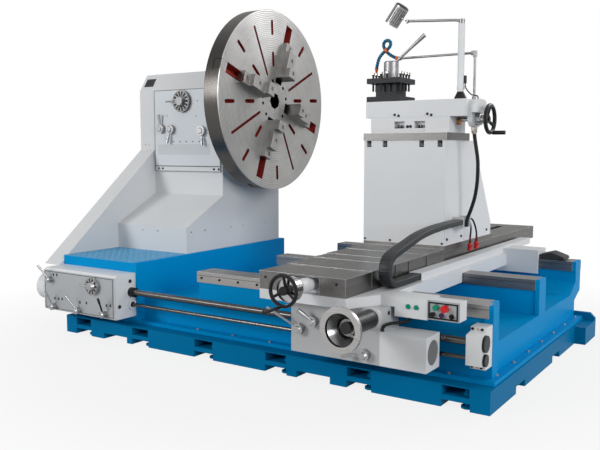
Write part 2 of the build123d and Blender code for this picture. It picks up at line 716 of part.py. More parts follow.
def headstock_outline(inset):
    """Side view of the headstock, with its walls moved in by inset."""
    outline = Polyline((HEADSTOCK_FRONT, riser_top), (HEADSTOCK_FRONT, toe_top), (HEADSTOCK_FACE, slope_top),
                       (HEADSTOCK_FACE, face_top), (HEADSTOCK_FACE + HEADSTOCK_CHAMFER, headstock_top),
                       (HEADSTOCK_REAR, headstock_top), (HEADSTOCK_REAR, riser_top), close=True)
    face = make_face(outline)
    return offset(face, -inset, kind=Kind.INTERSECTION) if inset else face


def headstock_housing():
    left = RISER_LEFT
    right = headstock_right
    wall = HEADSTOCK_WALL
    housing = extrude(Plane.YZ.offset(left) * headstock_outline(0), right - left)
    housing -= extrude(Plane.YZ.offset(left + wall) * headstock_outline(wall), right - left - 2 * wall)
    boss_radius = BEARING_RADIUS + BOSS_WALL
    drive_z = spindle_z - gear_distance
    for x0, x1 in ((left, left + BEARING_WIDTH), (right - BEARING_WIDTH, right)):
        housing += rod_x(boss_radius, x0, x1, SPINDLE_Y, spindle_z)
        housing += rod_x(DRIVE_RADIUS + BOSS_WALL, x0, x1, SPINDLE_Y, drive_z)
    housing -= rod_x(BEARING_RADIUS + RUN, left - PAST, right + PAST, SPINDLE_Y, spindle_z)
    housing -= rod_x(DRIVE_RADIUS + RUN, left + wall, right - wall, SPINDLE_Y, drive_z)
    for bore in headstock_pin_bores():
        housing -= bore
    return [housing, headstock_panel(), belt_guard()]


def headstock_pins():
    """Places of the dial's and the levers' pins on the panel."""
    spots = [SPEED_DIAL] + [lever[:2] for lever in SPEED_LEVERS]
    return [front_place(panel_left + x, panel_y, panel_bottom + z) for x, z in spots]


def pin_bore():
    """Bore for the pin of a lever or a dial, into a face."""
    depth = PIN_LENGTH + LOOSE
    return Pos(0, 0, -depth) * Cylinder(PIN_RADIUS + RUN, depth + PAST, align=ON_FLOOR)


def headstock_pin_bores():
    return [place * pin_bore() for place in headstock_pins()]


def headstock_panel():
    """Front plate with a raised strip along its lower edge."""
    right = headstock_right - PANEL_MARGIN
    panel = block(panel_left, right, panel_y, HEADSTOCK_FACE, panel_bottom, face_top)
    panel += block(panel_left, right, panel_y, HEADSTOCK_FACE, panel_bottom - PANEL_STRIP, panel_bottom)
    for bore in headstock_pin_bores():
        panel -= bore
    return panel


def guard_outline(inset):
    outline = Polyline((GUARD_FRONT, riser_top - GUARD_DROP), (HEADSTOCK_FACE, riser_top + GUARD_KNEE),
                       (HEADSTOCK_FACE, face_top), (HEADSTOCK_FACE + HEADSTOCK_CHAMFER, headstock_top),
                       (HEADSTOCK_REAR, headstock_top), (HEADSTOCK_REAR, riser_top - GUARD_DROP), close=True)
    face = make_face(outline)
    return offset(face, -inset, kind=Kind.INTERSECTION) if inset else face


def belt_guard():
    """Hollow end cover; the tail of the spindle reaches into it."""
    left = RISER_LEFT - GUARD_WIDTH
    guard = extrude(Plane.YZ.offset(left) * guard_outline(0), GUARD_WIDTH)
    inside = Plane.YZ.offset(left + GUARD_WALL) * guard_outline(GUARD_WALL)
    guard -= extrude(inside, GUARD_WIDTH - 2 * GUARD_WALL)
    return guard - rod_x(SPINDLE_RADIUS + LOOSE, RISER_LEFT - 2 * GUARD_WALL, RISER_LEFT + PAST,
                         SPINDLE_Y, spindle_z)


def spindle_bearings():
    """Front and rear bearing rings."""
    rings = []
    for left in (RISER_LEFT, headstock_right - BEARING_WIDTH):
        right = left + BEARING_WIDTH
        ring = rod_x(BEARING_RADIUS, left, right, SPINDLE_Y, spindle_z)
        rings.append(ring - rod_x(SPINDLE_RADIUS + RUN, left - PAST, right + PAST, SPINDLE_Y, spindle_z))
    return rings


def gear(teeth, bore, phase):
    """Spur gear about X, with a tooth at the given angle."""
    pitch_radius = GEAR_MODULE * teeth / 2
    root = pitch_radius - 1.25 * GEAR_MODULE
    tip = pitch_radius + GEAR_MODULE
    step = 360 / teeth
    outline = []
    for i in range(teeth):
        for radius, share in ((root, -0.3), (tip, -0.12), (tip, 0.12), (root, 0.3)):
            angle = math.radians(phase + (i + share) * step)
            outline.append((radius * math.sin(angle), radius * math.cos(angle)))
    wheel = slab_x(outline, GEAR_X - GEAR_WIDTH / 2, GEAR_X + GEAR_WIDTH / 2)
    return wheel - rod_x(bore, GEAR_X - GEAR_WIDTH, GEAR_X + GEAR_WIDTH, 0, 0)


def spindle():
    """Hollow spindle with its nose flange, and the gear that turns it."""
    tail = RISER_LEFT - SPINDLE_TAIL
    shaft = rod_x(SPINDLE_RADIUS, tail, face_back, SPINDLE_Y, spindle_z)
    shaft += rod_x(NOSE_RADIUS, face_back - NOSE_LENGTH, face_back, SPINDLE_Y, spindle_z)
    shaft -= rod_x(SPINDLE_BORE, tail - PAST, face_back + PAST, SPINDLE_Y, spindle_z)
    wheel = Pos(0, SPINDLE_Y, spindle_z) * gear(GEAR_TEETH, SPINDLE_RADIUS, 180)
    return [shaft, wheel]


def drive_shaft():
    """Shaft with the pinion that meshes with the spindle's gear."""
    drive_z = spindle_z - gear_distance
    shaft = rod_x(DRIVE_RADIUS, RISER_LEFT + HEADSTOCK_WALL + LOOSE, headstock_right - HEADSTOCK_WALL - LOOSE,
                  SPINDLE_Y, drive_z)
    return shaft + Pos(0, SPINDLE_Y, drive_z) * gear(PINION_TEETH, DRIVE_RADIUS - LOOSE, 180 / PINION_TEETH)


face_place = Plane(origin=(FACE_X, SPINDLE_Y, spindle_z), x_dir=(0, 1, 0), z_dir=(1, 0, 0))


def at_angle(degrees, shape):
    """Turn a shape drawn along the upward radius clockwise round the spindle, seen from the front."""
    return face_place * Rot(0, 0, -degrees) * shape


def jaw_angles():
    return [JAW_ANGLE + i * 360 / JAW_COUNT for i in range(JAW_COUNT)]


def radial_slot(span, width):
    length = span[1] - span[0]
    slot = Pos(0, sum(span) / 2, -SLOT_DEPTH) * SlotOverall(length, width, rotation=90)
    return extrude(slot, SLOT_DEPTH + PAST)


def faceplate():
    """Plate with radial slots and jaw channels, and a screw with its end block in every channel."""
    radius = FACEPLATE_RADIUS
    rim = [(-FACEPLATE_WIDTH, radius - RIM_CHAMFER), (RIM_CHAMFER - FACEPLATE_WIDTH, radius),
           (-RIM_CHAMFER, radius), (0, radius - RIM_CHAMFER)]
    plate = turned(rim, Pos(FACE_X, SPINDLE_Y, spindle_z))
    plate -= rod_x(FACEPLATE_BORE, face_back - PAST, FACE_X + PAST, SPINDLE_Y, spindle_z)
    channel = block(-CHANNEL_WIDTH / 2, CHANNEL_WIDTH / 2, CHANNEL_INNER, radius + PAST, -CHANNEL_DEPTH, PAST)
    channel += block(-INNER_CHANNEL / 2, INNER_CHANNEL / 2, 0, CHANNEL_INNER, -CHANNEL_DEPTH, PAST)
    sector = 360 / JAW_COUNT
    for angle in jaw_angles():
        middle = angle + sector / 2
        plate -= at_angle(angle, channel)
        plate -= at_angle(middle, radial_slot(LONG_SLOT, LONG_SLOT_WIDTH))
        for side in (-1, 1):
            plate -= at_angle(middle + side * FACE_BOLT_SPREAD, face_bolt_hole())
            for span in SHORT_SLOTS:
                plate -= at_angle(angle + side * sector / 4, radial_slot(span, SHORT_SLOT_WIDTH))
    return [plate] + jaw_screws()


def face_bolt_hole():
    return Pos(0, FACE_BOLT_CIRCLE, -FACE_BOLT_DEPTH) * Cylinder(FACE_BOLT_RADIUS, FACE_BOLT_DEPTH + PAST,
                                                                 align=ON_FLOOR)


def jaw_screws():
    """Screw of a jaw, with a bearing block at both ends of its channel."""
    outer = math.sqrt((FACEPLATE_RADIUS - RIM_CHAMFER) ** 2 - (CHANNEL_WIDTH / 2) ** 2)
    inner = FACEPLATE_BORE + LOOSE
    pieces = [rod_y(JAW_SCREW_RADIUS, inner, outer, 0, -JAW_SCREW_DEPTH)]
    ends = ((inner, CHANNEL_INNER, INNER_CHANNEL), (outer - JAW_BLOCK, outer, CHANNEL_WIDTH))
    for start, end, width in ends:
        half = width / 2 - BLOCK_GAP
        holder = block(-half, half, start, end, -CHANNEL_DEPTH, 0)
        pieces.append(holder - rod_y(JAW_SCREW_RADIUS, start - PAST, end + PAST, 0, -JAW_SCREW_DEPTH))
    return [at_angle(angle, piece) for angle in jaw_angles() for piece in pieces]


def jaw():
    """Jaw along the upward radius: steps turned round the plate's centre, and a tongue for the channel."""
    outline = [(JAW_INNER, SLIDE)]
    reach = JAW_INNER
    bolts = []
    for length, height in JAW_STEPS:
        outline += [(reach, height), (reach + length, height)]
        bolts.append((reach + length / 2, height))
        reach += length
    outline.append((reach, SLIDE))
    rings = revolve(Plane.XZ * make_face(Polyline(*outline, close=True)), Axis.Z)
    body = rings & block(-JAW_WIDTH / 2, JAW_WIDTH / 2, 0, reach + PAST, 0, JAW_STEPS[0][1] + PAST)
    for place, height in bolts:
        body -= Pos(0, place, height) * sunk_bolt()
    tongue = CHANNEL_WIDTH / 2 - SLIDE
    return body + block(-tongue, tongue, JAW_INNER + PAST, reach - JAW_BOLT_SINK, -JAW_TONGUE, SLIDE + PAST)


def sunk_bolt():
    """Ring and hexagon cut into a face, so that a socket-head bolt shows in it."""
    sink = JAW_BOLT_SINK
    ring = rod_z(JAW_BOLT_RADIUS + JAW_BOLT_RIM, -sink, PAST, 0, 0)
    ring -= rod_z(JAW_BOLT_RADIUS, -2 * sink, -JAW_BOLT_RIM, 0, 0)
    hexagon = Plane.XY.offset(-sink) * RegularPolygon(JAW_BOLT_RADIUS * 0.6, 6)
    return ring + extrude(hexagon, sink)


def lever(hub_radius, hub_length, arm, arm_radius, grip, grip_radius, lean, angle):
    """Hub on a pin, with a round arm that leans out of the face and ends in a grip."""
    piece = Pos(0, 0, SLIDE) * Cylinder(hub_radius, hub_length, align=ON_FLOOR)
    piece += Pos(0, 0, SLIDE + hub_length) * Cone(hub_radius * 0.7, hub_radius * 0.5, hub_length * 0.25,
                                                  align=ON_FLOOR)
    piece += Pos(0, 0, -PIN_LENGTH) * Cylinder(PIN_RADIUS, PIN_LENGTH + SLIDE, align=ON_FLOOR)
    along = Pos(0, 0, SLIDE + hub_length / 2) * Rot(0, 0, angle) * Rot(0, 90 - lean, 0)
    piece += along * Cylinder(arm_radius, arm, align=ON_FLOOR)
    return piece + along * Pos(0, 0, arm - grip) * Cylinder(grip_radius, grip, align=ON_FLOOR)


def dial(radius, width, arm):
    """Number dial with a hub, and a lever that points to the left."""
    piece = Pos(0, 0, SLIDE) * Cylinder(radius, width, align=ON_FLOOR)
    piece += Pos(0, 0, SLIDE + width) * Cone(radius * 0.55, radius * 0.4, width, align=ON_FLOOR)
    piece += Pos(0, 0, -PIN_LENGTH) * Cylinder(PIN_RADIUS, PIN_LENGTH + SLIDE, align=ON_FLOOR)
    handle = Rot(0, -90, 0) * Cylinder(PIN_RADIUS * 0.7, arm, align=ON_FLOOR)
    return piece + Pos(0, 0, SLIDE + width * 1.5) * handle


def speed_controls():
    """Dial and levers on the headstock panel."""
    places = headstock_pins()
    nodes = {"speed_dial": places[0] * dial(SPEED_DIAL_RADIUS, SPEED_DIAL_WIDTH, SPEED_DIAL_ARM)}
    for i, (place, spot) in enumerate(zip(places[1:], SPEED_LEVERS), 1):
        nodes[f"speed_lever_{i}"] = place * lever(*SPEED_LEVER, spot[2])
    return nodes


def gearbox_pins():
    """Places of the dial's and the levers' pins on the gearbox plate."""
    spots = [FEED_DIAL] + [lever_spot[:2] for lever_spot in FEED_LEVERS]
    return [front_place(gearbox_left + x, gearbox_front, gearbox_bottom + z) for x, z in spots]


def gearbox_pin_bores():
    return [place * pin_bore() for place in gearbox_pins()]


def gearbox_housing():
    """Box with seats for the screw and rod, a front plate and a round end cover."""
    top = gearbox_bottom + GEARBOX_HEIGHT
    back = gearbox_front + FRONT_PLATE
    outline = [(back, gearbox_bottom), (back, top - GEARBOX_CHAMFER), (back + GEARBOX_CHAMFER, top),
               (riser_front, top), (riser_front, gearbox_bottom)]
    housing = slab_x(outline, gearbox_left, gearbox_right)
    housing += rod_x(SLEEVE_RADIUS, gearbox_right, gearbox_right + SLEEVE_LENGTH, screw_y, lead_screw_z)
    housing += rod_x(SLEEVE_RADIUS, gearbox_right, gearbox_right + SLEEVE_LENGTH / 3, screw_y, feed_rod_z)
    seat_left = gearbox_right - SEAT_DEPTH - LOOSE
    seat_right = gearbox_right + SLEEVE_LENGTH + PAST
    housing -= rod_x(LEAD_SCREW_RADIUS + RUN, seat_left, seat_right, screw_y, lead_screw_z)
    housing -= rod_x(FEED_ROD_RADIUS + RUN, seat_left, seat_right, screw_y, feed_rod_z)
    plate = block(plate_left, gearbox_right - FRONT_PLATE_MARGIN, gearbox_front, back,
                  plate_bottom, top - GEARBOX_CHAMFER)
    for bore in gearbox_pin_bores():
        housing -= bore
        plate -= bore
    cover_z = gearbox_bottom + GEARBOX_HEIGHT / 2
    cover = [(0, END_COVER_RADIUS), (END_COVER_LENGTH - END_COVER_ROUND, END_COVER_RADIUS),
             (END_COVER_LENGTH, END_COVER_RADIUS - END_COVER_ROUND)]
    end_cover = turned(cover, Pos(gearbox_left, gearbox_front + GEARBOX_DEPTH / 2, cover_z) * Rot(0, 0, 180))
    return [housing, plate, end_cover]


def feed_controls():
    """Dial and levers on the gearbox."""
    places = gearbox_pins()
    nodes = {"feed_dial": places[0] * dial(FEED_DIAL_RADIUS, FEED_DIAL_WIDTH, FEED_DIAL_ARM)}
    for i, (place, spot) in enumerate(zip(places[1:], FEED_LEVERS), 1):
        nodes[f"feed_lever_{i}"] = place * lever(*FEED_LEVER, spot[2])
    return nodes


def feed_rod():
    return rod_x(FEED_ROD_RADIUS, gearbox_right - SEAT_DEPTH, bracket_right - LOOSE, screw_y, feed_rod_z)


def lead_screw():
    """Shaft with its thread, plain at both ends."""
    start = gearbox_right + SLEEVE_LENGTH + LOOSE
    turns = int((BRACKET_LEFT - THREAD_RUNOUT - start) // THREAD_PITCH)
    root = LEAD_SCREW_RADIUS - THREAD_DEPTH
    profile = [(gearbox_right - SEAT_DEPTH, LEAD_SCREW_RADIUS)]
    for i in range(turns):
        x = start + i * THREAD_PITCH
        profile += [(x, LEAD_SCREW_RADIUS), (x + THREAD_PITCH * 0.15, root), (x + THREAD_PITCH * 0.45, root),
                    (x + THREAD_PITCH * 0.6, LEAD_SCREW_RADIUS)]
    profile.append((bracket_right - LOOSE, LEAD_SCREW_RADIUS))
    return turned(profile, Pos(0, screw_y, lead_screw_z))


def screw_end_bracket():
    """Block on a bolted foot that holds the screw and rod, with a cap over each end."""
    front = screw_y - BRACKET_MARGIN
    foot = BED_FRONT - BRACKET_PAD
    bottom = BASE_HEIGHT + BRACKET_BOTTOM
    top = bottom + BRACKET_HEIGHT
    fall = BRACKET_STEP + BRACKET_SLOPE
    outline = [(front, bottom + fall), (front, top - fall), (foot + PAST, top - BRACKET_STEP),
               (foot + PAST, bottom + BRACKET_STEP)]
    bracket = slab_x(outline, BRACKET_LEFT, bracket_right)
    bracket += block(BRACKET_LEFT, bracket_right, foot, BED_FRONT, bottom, top)
    caps = []
    shafts = ((lead_screw_z, LEAD_SCREW_RADIUS), (feed_rod_z, FEED_ROD_RADIUS))
    for (z, radius), cap_radius in zip(shafts, BRACKET_CAPS):
        bracket -= rod_x(radius + RUN, BRACKET_LEFT - PAST, bracket_right + PAST, screw_y, z)
        caps.append(rod_x(cap_radius, bracket_right, bracket_right + BRACKET_CAP, screw_y, z))
    return [bracket] + caps


def saddle():
    """H-shaped casting on the ways, with nose, control arm, cross-screw boss and cable trough."""
    left = CROSS_LEFT - SADDLE_LEFT_WING
    casting = block(left, saddle_right, SADDLE_FRONT, SADDLE_REAR, saddle_bottom, saddle_top)
    nose = [(CROSS_LEFT, saddle_nose), (cross_right, saddle_nose), (ARM_LEFT, SADDLE_FRONT),
            (CROSS_LEFT, SADDLE_FRONT)]
    casting += slab_z(nose, apron_top, saddle_top)
    arm_rear = SADDLE_FRONT + ARM_DEPTH
    casting += block(ARM_LEFT - RIB_WIDTH, ARM_RIGHT, SADDLE_FRONT, arm_rear, apron_top, saddle_top)
    casting += block(ARM_LOWER_LEFT, ARM_RIGHT, SADDLE_FRONT, arm_rear, saddle_top - ARM_DROP, apron_top)
    for (_, before), (after, _) in zip(way_spans, way_spans[1:]):
        for x0 in (left, saddle_right - RIB_WIDTH):
            casting += block(x0, x0 + RIB_WIDTH, before + RIB_GAP, after - RIB_GAP,
                             saddle_bottom - RIB_DROP, saddle_bottom)
    casting += rear_wing()
    rail_gap = CROSS_RAIL + SLIDE
    casting += block(CROSS_LEFT + rail_gap, cross_right - rail_gap, boss_root, boss_root + BOSS_BLOCK_DEPTH,
                     saddle_top, saddle_top + CROSS_HEIGHT - CROSS_DECK - SLIDE)
    boss = [(0, CROSS_BOSS_RADIUS), (CROSS_BOSS_LENGTH, CROSS_BOSS_TIP)]
    casting += turned(boss, Pos(cross_screw_x, boss_root, cross_screw_z) * Rot(0, 0, -90))
    casting -= rod_y(CROSS_SCREW_RADIUS + RUN, boss_tip - PAST, boss_root + BOSS_BLOCK_DEPTH + PAST,
                     cross_screw_x, cross_screw_z)
    for x, z in SIGNAL_LAMPS:
        casting += rod_y(SIGNAL_RADIUS, SADDLE_FRONT - SIGNAL_HEIGHT, SADDLE_FRONT, x, z)
    return [casting, cable_trough()]


def rear_wing():
    """Part of the saddle that straddles the rear way, with a lip on both sides of it."""
    y0, y1 = way_spans[2]
    front = y0 - RIB_GAP - REAR_LIP
    rear = y1 + RIB_GAP + REAR_LIP
    right = cross_right + REAR_WING
    wing = block(cross_right, right, front, rear, saddle_bottom, saddle_bottom + REAR_WING_HEIGHT)
    for lip in (front, rear - REAR_LIP):
        wing += block(cross_right, right, lip, lip + REAR_LIP, saddle_bottom - REAR_WING_DROP, saddle_bottom)
    return wing


def cable_trough():
    """Covered channel beside the cross way, open at both ends."""
    right = trough_left + TROUGH_WIDTH
    rear = TROUGH_FRONT + TROUGH_LENGTH
    wing_front = way_spans[2][0] - RIB_GAP - REAR_LIP
    trough = block(trough_left, right, TROUGH_FRONT, rear, saddle_top, saddle_top + TROUGH_HEIGHT)
    trough -= block(trough_left + TROUGH_WALL, right - TROUGH_WALL, TROUGH_FRONT - PAST, rear + PAST,
                    saddle_top + TROUGH_WALL, saddle_top + TROUGH_HEIGHT - TROUGH_WALL)
    wing_top = saddle_bottom + REAR_WING_HEIGHT
    wing_rear = way_spans[2][1] + RIB_GAP + REAR_LIP
    return trough - block(trough_left - PAST, right + PAST, wing_front, wing_rear,
                          saddle_top - PAST, wing_top)


def cross_way():
    """Two rails under one deck, with a slot for the nut and a rear end plate that holds the screw."""
    way = block(CROSS_LEFT, cross_right, saddle_nose, cross_rear, saddle_top, cross_top)
    left = CROSS_LEFT + CROSS_RAIL
    right = cross_right - CROSS_RAIL
    front = saddle_nose - PAST
    low = saddle_top - PAST
    way -= block(left, right, front, cross_rear - CROSS_END, low, cross_top - CROSS_DECK)
    way -= block(left, right, front, saddle_nose + BOSS_NOTCH, low, cross_top - BOSS_ROOF)
    half = CROSS_SLOT / 2
    way -= block(cross_screw_x - half, cross_screw_x + half, saddle_nose + CROSS_SLOT_FRONT,
                 cross_rear - CROSS_SLOT_REAR, saddle_top, cross_top + PAST)
    return way - rod_y(CROSS_SCREW_RADIUS + RUN, cross_rear - CROSS_END - PAST, cross_rear + PAST,
                       cross_screw_x, cross_screw_z)


def way_cover(index, front, rear):
    """Folded sheet over the cross way; each one slides over the one before it."""
    inner = COVER_GAP + index * (COVER_SHEET + COVER_GAP)
    outer = inner + COVER_SHEET
    skirt = saddle_top + COVER_SKIRT
    sheet = block(CROSS_LEFT - outer, cross_right + outer, front, rear, skirt, cross_top + outer)
    return sheet - block(CROSS_LEFT - inner, cross_right + inner, front - PAST, rear + PAST,
                         skirt - PAST, cross_top + inner)


def handwheel(radius, rim, hub_radius, hub_length, dish, crank, crank_radius):
    """Rim, three spokes, hub and crank handle; the local Z axis points out towards the user."""
    wheel = revolve(Plane.XZ * Pos(radius, 0) * RegularPolygon(rim, RIM_SIDES), Axis.Z)
    wheel += Pos(0, 0, -dish - hub_length / 2) * Cylinder(hub_radius, hub_length, align=ON_FLOOR)
    slope = math.degrees(math.atan2(radius, dish))
    spoke = Rot(0, slope, 0) * Cylinder(rim * SPOKE_SHARE, math.hypot(radius, dish), align=ON_FLOOR)
    for i in range(3):
        wheel += Rot(0, 0, 90 + i * 120) * Pos(0, 0, -dish) * spoke
    handle = Cylinder(rim * 0.5, crank, align=ON_FLOOR)
    handle += Pos(0, 0, crank * 0.2) * Cylinder(crank_radius, crank * 0.8, align=ON_FLOOR)
    return wheel + Rot(0, 0, -90) * Pos(radius, 0, 0) * handle


def cross_handwheel():
    """Handwheel with its graduated drum in front of the saddle, on the long cross screw."""
    place = front_place(cross_screw_x, cross_wheel_y, cross_screw_z)
    drum_end = DRUM_GAP + DRUM_LENGTH
    groove = DRUM_RADIUS - DRUM_GROOVE
    middle = DRUM_GAP + DRUM_LENGTH / 2
    profile = [(DRUM_GAP, groove), (DRUM_GAP + DRUM_GROOVE, DRUM_RADIUS), (middle, DRUM_RADIUS),
               (middle, groove), (middle + DRUM_GROOVE, groove), (middle + DRUM_GROOVE, DRUM_RADIUS),
               (drum_end, DRUM_RADIUS), (CROSS_WHEEL_GAP - SLIDE, CROSS_BOSS_TIP)]
    drum = turned(profile, Pos(cross_screw_x, cross_wheel_y, cross_screw_z) * Rot(0, 0, 90))
    screw = rod_y(CROSS_SCREW_RADIUS, cross_wheel_y, cross_rear - LOOSE, cross_screw_x, cross_screw_z)
    return place * handwheel(*CROSS_WHEEL) + drum + screw


def apron_pins():
    """Places of the levers' pins on the apron's front."""
    return [front_place(APRON_LEFT + x, APRON_FRONT, apron_bottom + z) for x, z, _ in APRON_LEVERS]


def apron():
    """Gear case in front of the bed, bored for the lead screw and the feed rod."""
    case = block(APRON_LEFT, apron_right, APRON_FRONT, SADDLE_FRONT, apron_bottom, apron_top)
    case += block(APRON_LEFT, apron_right, SADDLE_FRONT, apron_rear, apron_bottom, apron_top - APRON_STEP)
    case += block(ARM_LEFT + LOOSE, apron_right, SADDLE_FRONT, apron_rear, apron_top - APRON_STEP, apron_top)
    case -= rod_x(LEAD_SCREW_RADIUS + LOOSE, APRON_LEFT - PAST, apron_right + PAST, screw_y, lead_screw_z)
    case -= rod_x(FEED_ROD_RADIUS + LOOSE, APRON_LEFT - PAST, apron_right + PAST, screw_y, feed_rod_z)
    collar = [(0, APRON_COLLAR), (APRON_COLLAR_WIDTH, APRON_COLLAR),
              (apron_collar_end, APRON_COLLAR - APRON_COLLAR_TAPER)]
    case += turned(collar, Pos(apron_wheel_x, APRON_FRONT, apron_wheel_z) * Rot(0, 0, -90))
    for place in apron_pins():
        case -= place * pin_bore()
    wheel_bore = Cylinder(CROSS_SCREW_RADIUS + RUN, PIN_LENGTH + apron_collar_end + PAST, align=ON_FLOOR)
    return case - front_place(apron_wheel_x, APRON_FRONT + PIN_LENGTH, apron_wheel_z) * wheel_bore


def apron_handwheel():
    """Broad rim with a bowl inside it, on a long drum; a handle is folded into the rim."""
    inner, outer = APRON_RING
    back = APRON_REACH - APRON_RING_WIDTH
    bowl_end = back - APRON_BOWL
    low = apron_collar_end + SLIDE
    wheel = Pos(0, 0, LOOSE - PIN_LENGTH) * Cylinder(CROSS_SCREW_RADIUS, PIN_LENGTH + low, align=ON_FLOOR)
    wheel += Pos(0, 0, low) * Cylinder(APRON_DRUM, bowl_end + APRON_BOWL_WALL - low, align=ON_FLOOR)
    bowl = [(APRON_DRUM - APRON_BOWL_WALL, bowl_end), (APRON_DRUM, bowl_end), (inner + APRON_BOWL_WALL, back),
            (outer, back), (outer, APRON_REACH), (inner, APRON_REACH), (inner, back),
            (APRON_DRUM - APRON_BOWL_WALL, bowl_end + APRON_BOWL_WALL)]
    wheel += revolve(Plane.XZ * make_face(Polyline(*bowl, close=True)), Axis.Z)
    nut_radius, nut_height = APRON_NUT
    wheel += Pos(0, 0, bowl_end) * Cylinder(nut_radius, APRON_BOWL_WALL + nut_height, align=ON_FLOOR)
    start, end, radius = APRON_HANDLE
    handle = Pos(start, 0, APRON_REACH) * Rot(0, 90, 0) * Cylinder(radius, end - start, align=ON_FLOOR)
    wheel += Rot(0, 0, APRON_HANDLE_ANGLE) * handle
    return front_place(apron_wheel_x, APRON_FRONT, apron_wheel_z) * wheel


def apron_levers():
    nodes = {}
    for i, (place, spot, size) in enumerate(zip(apron_pins(), APRON_LEVERS, APRON_LEVER), 1):
        nodes[f"apron_lever_{i}"] = place * lever(*size, spot[2])
    return nodes


def rapid_motor_cover():
    """Sheet-metal box beside the apron, with a round vent in its right side."""
    right = apron_right + MOTOR_LENGTH
    top = apron_bottom + MOTOR_HEIGHT
    box = block(apron_right, right, APRON_FRONT, APRON_FRONT + MOTOR_DEPTH, apron_bottom, top)
    y = APRON_FRONT + MOTOR_DEPTH / 2
    z = apron_bottom + MOTOR_HEIGHT / 2
    box -= rod_x(GRILLE_RADIUS, right - GRILLE_DEPTH, right + PAST, y, z)
    reach = int(GRILLE_RADIUS // VENT_PITCH)
    for i in range(-reach, reach + 1):
        for j in range(-reach, reach + 1):
            if math.hypot(i, j) * VENT_PITCH + VENT_RADIUS * 2 < GRILLE_RADIUS:
                box -= rod_x(VENT_RADIUS, right - 4 * GRILLE_DEPTH, right,
                             y + i * VENT_PITCH, z + j * VENT_PITCH)
    return box


def motor_cable():
    """Cable from the top of the motor cover up into the control arm."""
    x = apron_right
    y = APRON_FRONT
    z = apron_bottom + MOTOR_HEIGHT
    arm = saddle_top - ARM_DROP
    run = (arm - z) * CABLE_LEVEL
    route = [(x + 12, y + 11, z), (x + 12, y + 11, z + 24), (x + 30, y + 42, z + run),
             (x + 72, y + 100, z + run), (x + 102, y + 142, z + run), (x + 102, y + 142, arm)]
    return tube(route, MOTOR_CABLE_RADIUS)


def control_box():
    """Box at the end of the arm, with a raised frame round its buttons."""
    front = SADDLE_FRONT
    top = box_bottom + BOX_HEIGHT
    box = block(ARM_RIGHT, box_right, front, front + BOX_DEPTH, box_bottom, top)
    edge = BOX_BORDER
    frame = block(ARM_RIGHT + edge, box_right - edge, front - BOX_FRAME, front, box_bottom + edge, top - edge)
    frame -= block(ARM_RIGHT + 2 * edge, box_right - 2 * edge, front - 2 * BOX_FRAME, front + PAST,
                   box_bottom + 2 * edge, top - 2 * edge)
    box += frame
    hole = Pos(0, 0, -BUTTON_STEM_LENGTH - BUTTON_TRAVEL - LOOSE) * Cylinder(
        BUTTON_STEM + RUN, BUTTON_STEM_LENGTH + BUTTON_TRAVEL + LOOSE + PAST, align=ON_FLOOR)
    for x, z, _, _ in (*BUTTONS.values(), SELECTOR):
        box -= front_place(ARM_RIGHT + x, front, box_bottom + z) * hole
    return box


def button(radius, height):
    """Cap on a stem; it stands off the box by its travel."""
    cap = Pos(0, 0, BUTTON_TRAVEL + SLIDE) * Cylinder(radius, height, align=ON_FLOOR)
    return cap + Pos(0, 0, -BUTTON_STEM_LENGTH) * Cylinder(
        BUTTON_STEM, BUTTON_STEM_LENGTH + BUTTON_TRAVEL + SLIDE, align=ON_FLOOR)


def buttons():
    nodes = {}
    for name, (x, z, radius, height) in BUTTONS.items():
        nodes[name] = front_place(ARM_RIGHT + x, SADDLE_FRONT, box_bottom + z) * button(radius, height)
    x, z, radius, height = SELECTOR
    knob = Pos(0, 0, SLIDE) * Cylinder(radius, height, align=ON_FLOOR)
    knob += Pos(0, 0, SLIDE + height) * Box(radius * 0.6, radius * 2, SELECTOR_BAR, align=ON_FLOOR)
    knob += Pos(0, 0, -BUTTON_STEM_LENGTH) * Cylinder(BUTTON_STEM, BUTTON_STEM_LENGTH + SLIDE, align=ON_FLOOR)
    nodes["selector_switch"] = front_place(ARM_RIGHT + x, SADDLE_FRONT, box_bottom + z) * knob
    return nodes


def cross_slide():
    """Plate that slides on the cross way, with its nut, and the last way cover in front of it."""
    plate = block(slide_left, slide_right, SLIDE_FRONT, slide_rear, slide_bottom, slide_top)
    half = CROSS_SLOT / 2 - CROSS_NUT_SIDE
    nut_y = SLIDE_FRONT + CROSS_NUT_SETBACK
    plate += block(cross_screw_x - half, cross_screw_x + half, nut_y, nut_y + CROSS_NUT,
                   cross_screw_z - 2 * CROSS_SCREW_RADIUS + LOOSE, slide_bottom)
    plate -= rod_y(CROSS_SCREW_RADIUS + SLIDE, nut_y - PAST, nut_y + CROSS_NUT + PAST,
                   cross_screw_x, cross_screw_z)
    return [plate, way_cover(len(COVER_LENGTHS), COVER_FRONTS[-1], SLIDE_FRONT)]


def pedestal_outline(inset):
    foot_rear = SLIDE_FRONT + PEDESTAL_FOOT_DEPTH
    return [(SLIDE_FRONT + inset, slide_top - inset), (SLIDE_FRONT + inset, pedestal_top - inset),
            (SLIDE_FRONT + PEDESTAL_TOP_DEPTH - inset, pedestal_top - inset),
            (foot_rear - inset, slide_top + PEDESTAL_TOE), (foot_rear - inset, slide_top - inset)]


